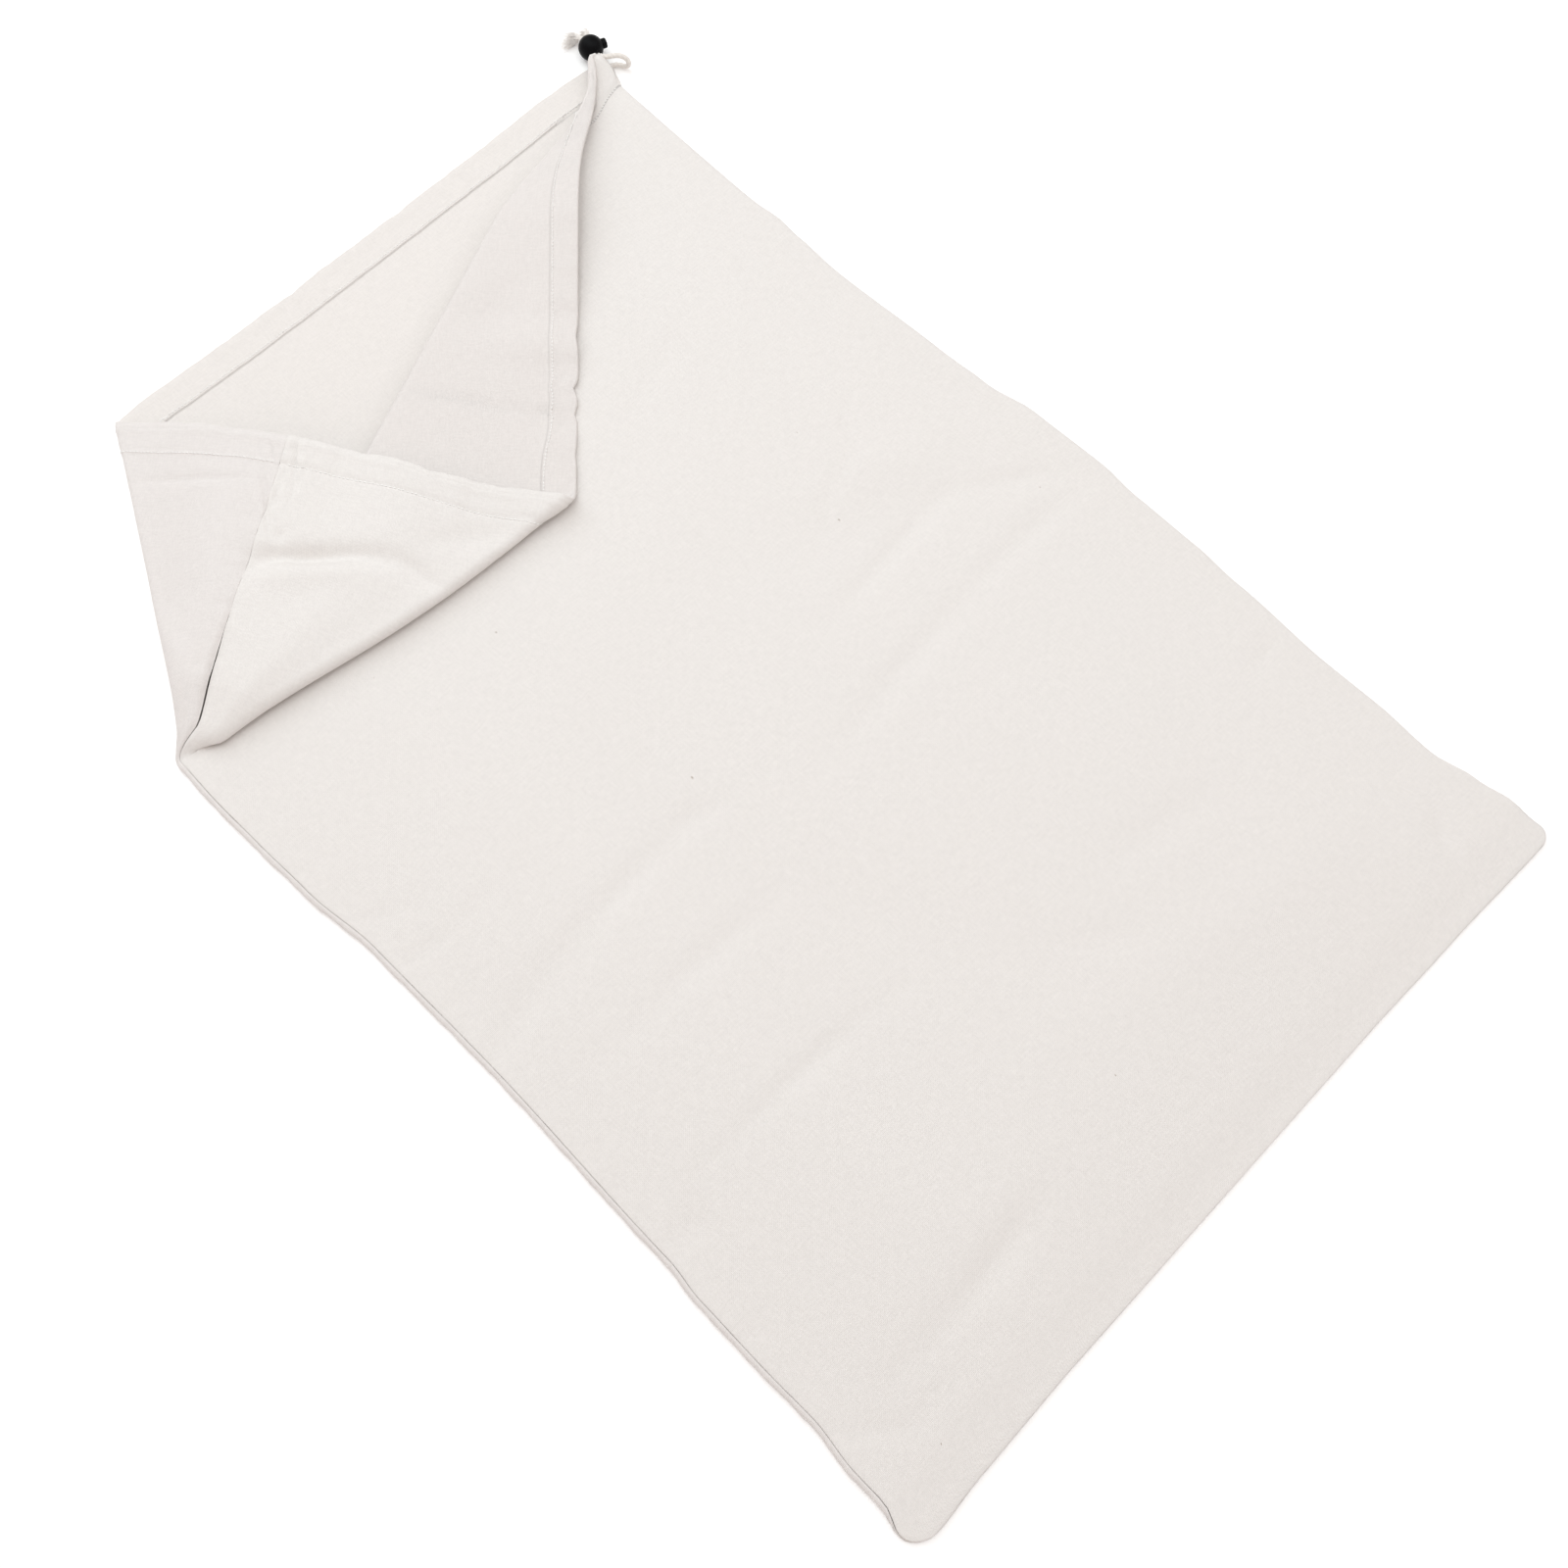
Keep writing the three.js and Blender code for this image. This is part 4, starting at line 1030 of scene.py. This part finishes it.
def canvas(name, colour, *line):
    """Plain-woven canvas: crossing yarns of uneven thickness, seed flecks and the hem's painted shade line.
    """
    n = Nodes(name)
    coordinates = n.on_cloth("cloth")
    crossing = crossing_yarns(n, coordinates)
    slubs_across = n.noise(n.stretched(coordinates, SLUBS_ACROSS), scale=1.0, detail=3.0, roughness=0.6)
    slubs_up = n.noise(n.stretched(coordinates, SLUBS_UP), scale=1.0, detail=3.0, roughness=0.6)
    slubs = n.plus(slubs_across, slubs_up)
    fuzz = n.noise(coordinates, scale=620, detail=3.0, roughness=0.65)
    clouds = n.noise(coordinates, scale=9, detail=3.0, roughness=0.55)
    tone = grain(n, slubs, fuzz, crossing)
    woven = n.blend(tone, shade(colour, TONES["dark"]), shade(colour, TONES["light"]))
    aged = n.blend(n.times(clouds, TONES["clouds"]), woven, shade(colour, TONES["aged"]))
    # Painted shade: the hem's groove is darkened in the colour
    shade_lined = n.blend(hem_shade_line(n, *line), aged, shade(colour, TONES["line"]))
    flecked = n.blend(seed_flecks(n, coordinates), shade_lined, SEED_COLOUR)
    weave = n.bumped(crossing, strength=0.45, distance=0.00025)
    uneven = n.bumped(slubs, strength=0.5, distance=0.0004, under=weave)
    soft = n.bumped(n.noise(coordinates, scale=55), strength=0.35, distance=0.0011, under=uneven)
    return n.finished({"Base Color": flecked, "Normal": soft, **CANVAS_FINISH})


def thread(name, colour):
    """Cotton yarn: fine fibres and slight shade from yarn to yarn."""
    n = Nodes(name)
    tone = n.noise(n.in_object(), scale=700, detail=3.0, roughness=0.6)
    patch = n.times(n.noise(n.in_object(), scale=120), 0.35)
    fibre = n.blend(tone, shade(colour, 0.86), shade(colour, 1.07))
    yarn = n.blend(patch, fibre, shade(colour, 0.9))
    rough = n.bumped(tone, strength=0.5, distance=0.0002)
    return n.finished({"Base Color": yarn, "Normal": rough, **THREAD_FINISH})


def plastic(name, colour):
    """Moulded black plastic with a fine satin grain."""
    n = Nodes(name)
    satin = n.bumped(n.noise(n.in_object(), scale=2600), strength=0.25, distance=0.00005)
    scuffs = n.noise(n.in_object(), scale=260, detail=4.0, roughness=0.6)
    scuffed = n.blend(scuffs, colour, shade(colour, 2.2))
    rough = n.node("ShaderNodeMapRange", {"Value": scuffs, "To Min": 0.34, "To Max": 0.48}).outputs[0]
    inputs = {"Base Color": scuffed, "Normal": satin, "Roughness": rough, "Specular IOR Level": 0.07}
    return n.finished(inputs)


def floor_paper():
    """White ground that gives off a little light of its own."""
    n = Nodes("floor")
    faint = n.noise(n.in_object(), scale=3)
    colour = n.blend(faint, FLOOR_COLOUR, shade(FLOOR_COLOUR, 1.01))
    glow = {"Emission Color": (1, 1, 1), "Emission Strength": FLOOR_GLOW}
    return n.finished({"Base Color": colour, "Roughness": 0.85, "Specular IOR Level": 0.1, **glow})


# Shape of one stitch from end to end: place in stitch lengths, then height and thickness in radii
STITCH_SHAPE = (
    (-0.5, -2.2, 0.45),
    (-0.36, -0.35, 0.85),
    (-0.12, 0.0, 1.0),
    (0.12, 0.0, 1.0),
    (0.36, -0.35, 0.85),
    (0.5, -2.2, 0.45),
)
STITCH_SIDES = 6
STITCH_ENDS = (0.006, 0.010)
STITCH_SWING = {"out": 0.00012, "waves": 900}


def stitch_line(side, half, face):
    """The stitches of a hem on one side of its cloth, pressed into the cloth where it lies on the table."""
    places, heights, swells = np.array(STITCH_SHAPE).T
    middles = np.arange(STITCH_ENDS[0], WIDTH - STITCH_ENDS[1], STITCH["pitch"])
    count = len(middles)
    u = np.repeat(middles, len(places)) + np.tile(places, count) * STITCH["length"]
    swing = STITCH_SWING["out"] * np.sin(np.repeat(middles, len(places)) * STITCH_SWING["waves"])
    v = np.repeat(side["hem"](middles), len(places)) + swing
    across, normal = directions_at(side["place"], u, v)
    ground = side["place"](u, v) + normal * relief(u, v, side)[:, None]
    raised = half(u, v, side) + STITCH["proud"] + np.tile(heights, count) * STITCH["radius"]
    centres = ground + normal * (face * raised)[:, None]
    centres[:, 2] = np.maximum(centres[:, 2], STITCH["radius"])
    thickness = STITCH["radius"] * np.tile(swells, count)[:, None] * np.ones(STITCH_SIDES)
    rows = (centres, np.cross(across, normal), -normal, thickness)
    return zip(*(np.split(row, count) for row in rows))


def stitches(name, side, material):
    """All the hem's stitches on a panel, as one piece of many closed yarns."""
    yarns = [*stitch_line(side, side["upper"], 1), *stitch_line(side, side["lower"], -1)]
    return tube_piece(name, yarns, material)


# A place in the lock by its distance along the button and along the cord from the ball's middle
LOCK = Matrix.Translation(BALL) @ Matrix((BUTTON_HEADING, CORD_HEADING, (0, 0, 1))).transposed().to_4x4()


def in_lock(button, cord, z):
    return LOCK @ Vector((button, cord, z - BALL_RADIUS))


# Drawcord strands, from the hem's end through the cord lock to where each is frayed
STRAIGHT = (
    (0.6062, 0.9032, 0.0080), (0.6068, 0.9060, 0.0081), (0.6070, 0.9088, 0.0082),
    (0.6067, 0.9116, 0.0084), (0.6061, 0.9144, 0.0088), (0.6052, 0.9179, 0.0094),
    (0.6047, 0.9213, 0.0099), in_lock(-CORD_SPACING, -0.0082, 0.0100),
    in_lock(-CORD_SPACING, -0.0040, 0.0100), in_lock(-CORD_SPACING, 0.0000, 0.0100),
    in_lock(-CORD_SPACING, 0.0040, 0.0100), in_lock(-CORD_SPACING, 0.0080, 0.0099),
    (0.6116, 0.9430, 0.0094), (0.6117, 0.9460, 0.0085), (0.6112, 0.9488, 0.0075),
)
LOOPED = (
    (0.6089, 0.9119, 0.0028), (0.6126, 0.9122, 0.0026), (0.6160, 0.9108, 0.0025),
    (0.6187, 0.9080, 0.0025), (0.6200, 0.9045, 0.0030), (0.6205, 0.9013, 0.0050),
    (0.6207, 0.8995, 0.0083), (0.6202, 0.8995, 0.0120), (0.6187, 0.9011, 0.0152),
    (0.6164, 0.9039, 0.0169), (0.6139, 0.9071, 0.0167), (0.6112, 0.9108, 0.0152),
    (0.6093, 0.9146, 0.0135), (0.6088, 0.9185, 0.0116), in_lock(CORD_SPACING, -0.0096, 0.0102),
    in_lock(CORD_SPACING, -0.0050, 0.0100), in_lock(CORD_SPACING, 0.0000, 0.0100),
    in_lock(CORD_SPACING, 0.0040, 0.0100), in_lock(CORD_SPACING, 0.0080, 0.0099),
    (0.6160, 0.9418, 0.0094), (0.6170, 0.9448, 0.0085),
)


ROUTE_STEPS = 24


def along_route(route, step):
    """Evenly spaced points on the smooth curve through a route's points."""
    points = np.array([tuple(p) for p in route])
    ends = np.concatenate([[2 * points[0] - points[1]], points, [2 * points[-1] - points[-2]]])
    knots = np.concatenate([[0], np.cumsum(np.sqrt(np.linalg.norm(np.diff(ends, axis=0), axis=1)))])

    def between_knots(t, first, last, start, end):
        return ((knots[last] - t) * start + (t - knots[first]) * end) / (knots[last] - knots[first])

    fine = []
    for i in range(1, len(ends) - 2):
        for t in np.linspace(knots[i], knots[i + 1], ROUTE_STEPS, endpoint=False):
            p = [between_knots(t, j, j + 1, ends[j], ends[j + 1]) for j in range(i - 1, i + 2)]
            q = [between_knots(t, i - 1 + k, i + 1 + k, p[k], p[k + 1]) for k in range(2)]
            fine.append(between_knots(t, i, i + 1, q[0], q[1]))
    fine = np.array([*fine, points[-1]])
    distance = np.concatenate([[0], np.cumsum(np.linalg.norm(np.diff(fine, axis=0), axis=1))])
    places = np.linspace(0, distance[-1], round(distance[-1] / step) + 1)
    return np.stack([np.interp(places, distance, fine[:, k]) for k in range(3)], 1)


def frames_along(path):
    """Two cross directions at each point of a path, carried along it without twist."""
    headings = unit(np.gradient(path, axis=0))
    side = np.cross(headings[0], (0, 0, 1.0))
    sides = []
    for heading in headings:
        side = unit(side - heading * side.dot(heading))
        sides.append(side)
    return np.array(sides), np.cross(headings, sides)


CORD_STEP = 0.0004
CORD_SIDES = 30
CORD_TWIST = 0.0105
CORD_GROOVE = {"least": 0.80, "swell": 0.22, "power": 0.6}
STRAND_COUNT = 3


def cord(name, route, material):
    """A cord of three twisted strands, each of them grooved where the next one lies against it."""
    path = along_route(route, CORD_STEP)
    turned = 2 * math.pi * np.arange(len(path)) * CORD_STEP / CORD_TWIST
    groove = np.abs(np.sin(STRAND_COUNT * (corner_angles(CORD_SIDES) - turned[:, None]) / 2))
    thickness = CORD / 2 * (CORD_GROOVE["least"] + CORD_GROOVE["swell"] * groove ** CORD_GROOVE["power"])
    return tube_piece(name, [(path, *frames_along(path), thickness)], material), path + ORIGIN


# Frayed ends: a pair is the range of a random draw, and the yarns taper from their root
FIBRE = 0.00021
GOLDEN_ANGLE = math.pi * (3 - math.sqrt(5))
FRAY = {"reach": (0.55, 1.1), "spread": (0.5, 1.3), "bundle": 0.86, "opens": 1.35, "inside": 0.0012}
CURL = {"out": (0.0003, 0.0012), "turns": (0.7, 2.0), "droop": (0.0012, 0.0042), "lowest": (1.2, 14)}
YARN = {"steps": 13, "sides": 4, "root": 1.25, "taper": 0.75}
STRAIGHT_TUFT = {"length": 0.0115, "opening": 0.75, "count": 170, "lean": (-0.0055, -0.0010, 0), "seed": 3}
LOOPED_TUFT = {"length": 0.0085, "opening": 0.60, "count": 130, "lean": (0, 0, 0), "seed": 8}


def fibre_path(end, axes, reach, spread, share, around, lean, random):
    """One yarn of a frayed end: it opens out, curls and settles on the table."""
    heading, side, up = axes
    outward = side * math.cos(around) + up * math.sin(around)
    curl = random.uniform(*CURL["out"])
    turns = random.uniform(*CURL["turns"])
    first_turn = random.uniform(0, 2 * math.pi)
    droop = random.uniform(*CURL["droop"])
    lowest = FIBRE * random.uniform(*CURL["lowest"])
    path = []
    for t in np.linspace(0, 1, YARN["steps"]):
        out = FRAY["bundle"] * CORD / 2 * share + reach * math.sin(spread) * t ** FRAY["opens"]
        place = end + heading * (reach * t * math.cos(spread) - FRAY["inside"]) + outward * out
        turn = first_turn + 2 * math.pi * turns * t
        place = place + (side * math.cos(turn) + up * math.sin(turn)) * curl * t + lean * t * t
        place[2] = max(place[2] - droop * t * t, lowest)
        path.append(place)
    return np.array(path)


def tuft(name, route, shape, material):
    """The frayed end of a strand."""
    random = np.random.default_rng(shape["seed"])
    end, before = np.array(route[-1]), np.array(route[-2])
    heading = unit(end - before)
    side = unit(np.cross(heading, (0, 0, 1.0)))
    axes = (heading, side, np.cross(side, heading))
    lean = np.array(shape["lean"])
    along = np.arange(YARN["steps"])[:, None] / (YARN["steps"] - 1)
    thickness = FIBRE * (YARN["root"] - YARN["taper"] * along) * np.ones(YARN["sides"])
    yarns = []
    for fibre in range(shape["count"]):
        share = math.sqrt((fibre + 0.5) / shape["count"])
        reach = shape["length"] * random.uniform(*FRAY["reach"])
        spread = shape["opening"] * share * random.uniform(*FRAY["spread"])
        path = fibre_path(end, axes, reach, spread, share, fibre * GOLDEN_ANGLE, lean, random)
        yarns.append((path, *frames_along(path), thickness))
    return tube_piece(name, yarns, material)


# The lock's solids are made round x, which is then turned to the button's heading
POLE = 0.00001
BALL_RINGS = 48
BALL_SIDES = 72
BORE_SIDES = 48
SLOT_STEPS = 12
STRAND_SIDE = CORD_SPACING + CORD / 2 + RUNNING_GAP
SLOT_HEIGHT = CORD + 2 * RUNNING_GAP
SLOT_DEPTH = 3 * BALL_RADIUS
BALL_GRAIN = 0.00028
BUTTON_GRAIN = 0.00022
SOFTENING = {"factor": 0.5, "iterations": 5}
BUTTON_EDGE = ((0.0008, 0), (0.0002, 0.0004), (0, 0.0010))


def lathe(name, profile, sides):
    """Closed solid turned about x, from rows of place along it and radius."""
    along, radius = np.array(profile).T
    x, y, z = (np.tile(axis, (len(along), 1)) for axis in np.eye(3))
    return mesh_object(name, *tube_mesh([(x * along[:, None], y, z, radius[:, None] * np.ones(sides))]))


def cord_slot(end):
    """A bar with round ends, along y, that is cut out for the two strands."""
    half = SLOT_HEIGHT / 2
    outline = []
    for middle, first in ((end - half, -math.pi / 2), (half - STRAND_SIDE, math.pi / 2)):
        for step in range(SLOT_STEPS + 1):
            angle = first + math.pi * step / SLOT_STEPS
            outline.append((middle + half * math.cos(angle), half * math.sin(angle)))
    count = len(outline)
    points = [(x, y, z) for y in (-SLOT_DEPTH / 2, SLOT_DEPTH / 2) for x, z in outline]
    faces = [tuple(range(count)), tuple(reversed(range(count, 2 * count)))]
    faces += [(i, i + count, (i + 1) % count + count, (i + 1) % count) for i in range(count)]
    return mesh_object("slot", points, faces)


def moulded(name, blank, cutters, grain_size, material):
    """The blank less its cutters, with every edge softened as a mould leaves it."""
    for cutter in cutters:
        cut = blank.modifiers.new("cut", "BOOLEAN")
        cut.operation = "DIFFERENCE"
        cut.solver = "EXACT"
        cut.object = cutter
    remesh = blank.modifiers.new("remesh", "REMESH")
    remesh.mode = "VOXEL"
    remesh.voxel_size = grain_size
    soften = blank.modifiers.new("soften", "SMOOTH")
    soften.factor = SOFTENING["factor"]
    soften.iterations = SOFTENING["iterations"]
    bpy.context.view_layer.update()
    evaluated = blank.evaluated_get(bpy.context.evaluated_depsgraph_get())
    mesh = bpy.data.meshes.new_from_object(evaluated)
    for spent in (blank, *cutters):
        bpy.data.objects.remove(spent)
    mesh.transform(Matrix.Translation(ORIGIN) @ LOCK)
    mesh.materials.clear()
    mesh.materials.append(material)
    mesh.polygons.foreach_set("use_smooth", np.ones(len(mesh.polygons), bool))
    mesh.update()
    mesh.name = name
    return add(name, mesh)


def lock_body(material):
    """Ball with a bore for the button and a slot for both strands."""
    turns = [math.pi * ring / BALL_RINGS for ring in range(1, BALL_RINGS)]
    curve = [(-BALL_RADIUS * math.cos(turn), BALL_RADIUS * math.sin(turn)) for turn in turns]
    ball = lathe("ball_blank", [(-BALL_RADIUS, POLE), *curve, (BALL_RADIUS, POLE)], BALL_SIDES)
    bore_radius = BUTTON["radius"] + RUNNING_GAP
    bore_end = BUTTON["inner"] + BUTTON["travel"] + RUNNING_GAP
    bore = lathe("bore", [(-bore_end, bore_radius), (2 * BALL_RADIUS, bore_radius)], BORE_SIDES)
    return moulded("lock_ball", ball, (bore, cord_slot(STRAND_SIDE)), BALL_GRAIN, material)


def lock_button(material):
    """Push button with a rounded edge and a slot that is long enough for its travel."""
    radius, reach = BUTTON["radius"], BUTTON["reach"]
    edge = [(reach - back, radius - inward) for back, inward in BUTTON_EDGE]
    bar = lathe("bar", [(-BUTTON["inner"], radius), *edge, (reach, POLE)], BORE_SIDES)
    return moulded("push_button", bar, (cord_slot(STRAND_SIDE + BUTTON["travel"]),), BUTTON_GRAIN, material)


# Soft lights that aim at the bag's middle: how far they stand to the picture's right and up from it,
# then height, width, power and colour
LIGHTS = {
    "key": (-1.1, 1.1, 1.6, 2.2, 17.6, KEY_COLOUR),
    "fill": (1.6, 0.5, 1.9, 1.8, 8.3, KEY_COLOUR),
    "top": (0, 0, 2.6, 2.2, 20.7, TOP_COLOUR),
}
SKY_STRENGTH = 0.595
FLOOR_REACH = 6.0
CLIP = (0.01, 50)


def floor():
    size = FLOOR_REACH
    corners = [(-size, -size, 0), (size, -size, 0), (size, size, 0), (-size, size, 0)]
    mesh_object("floor", corners, [(0, 1, 2, 3)], floor_paper())


def area_light(name, right, up, height, size, power, colour):
    data = bpy.data.lights.new(name, "AREA")
    data.shape = "DISK"
    data.size = size
    data.energy = power
    data.color = colour
    place = Matrix.Rotation(PICTURE_TURN, 3, "Z") @ Vector((right, up, height))
    lamp = add(name, data)
    lamp.location = place
    lamp.rotation_euler = (-place).to_track_quat("-Z", "Y").to_euler()


def lights():
    world = bpy.data.worlds.new("studio")
    world.use_nodes = True
    background = world.node_tree.nodes["Background"]
    background.inputs["Color"].default_value = (*SKY_COLOUR, 1)
    background.inputs["Strength"].default_value = SKY_STRENGTH
    bpy.context.scene.world = world
    for name, light in LIGHTS.items():
        area_light(name, *light)


def camera():
    data = bpy.data.cameras.new("camera")
    data.sensor_width = SENSOR
    data.lens = LENS
    data.clip_start, data.clip_end = CLIP
    made = add("camera", data)
    look = Matrix.Rotation(PICTURE_TURN, 3, "Z") @ Vector((0, math.sin(TILT), -math.cos(TILT)))
    made.location = FLOOR_AIM - look * DISTANCE
    made.rotation_euler = (TILT, 0, PICTURE_TURN)
    bpy.context.scene.camera = made


def build():
    """Makes every piece, puts each on its body, and hides the solids it stands for."""
    camera()
    floor()
    lights()
    bpy.context.scene.view_settings.view_transform = "Standard"

    cloth = {name: canvas(name, *row) for name, row in CLOTH_SIDES.items()}
    sewing = thread("sewing_thread", THREAD_COLOUR)
    cotton = thread("cotton", COTTON)
    frayed = thread("frayed_cotton", FRAY_COTTON_LIGHTENED)
    black = plastic("black_plastic", BLACK_PLASTIC)

    front_sides = (cloth["canvas_outside"], cloth["front_inside"])
    back_sides = (cloth["back_inside"], cloth["back_outside"])
    front = panel("front_cloth", front_headings(), FRONT, front_sides)
    back = panel("back_cloth", back_headings(), BACK, back_sides)
    front_stitches = stitches("front_hem_stitches", FRONT, sewing)
    back_stitches = stitches("back_hem_stitches", BACK, sewing)
    straight, straight_path = cord("straight_strand", STRAIGHT, cotton)
    looped, looped_path = cord("looped_strand", LOOPED, cotton)
    straight_tuft = tuft("straight_fray", STRAIGHT, STRAIGHT_TUFT, frayed)
    looped_tuft = tuft("looped_fray", LOOPED, LOOPED_TUFT, frayed)
    ball = lock_body(black)
    button = lock_button(black)

    for piece, body, slot, nodes in (
        (front, "bag", "canvas", ["front_panel"]),
        (back, "bag", "canvas", ["back_panel"]),
        (front_stitches, "bag", "canvas", []),
        (back_stitches, "bag", "canvas", []),
        (straight, "bag", "cotton_cord", ["cord_straight"]),
        (looped, "bag", "cotton_cord", ["cord_looped"]),
        (straight_tuft, "bag", "cotton_cord", ["tuft_straight"]),
        (looped_tuft, "bag", "cotton_cord", ["tuft_looped"]),
        (ball, "bag", "black_plastic", ["lock_body"]),
        (button, "button", "black_plastic", ["lock_button"]),
    ):
        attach(piece, body)
        if nodes:
            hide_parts(*nodes)


build()
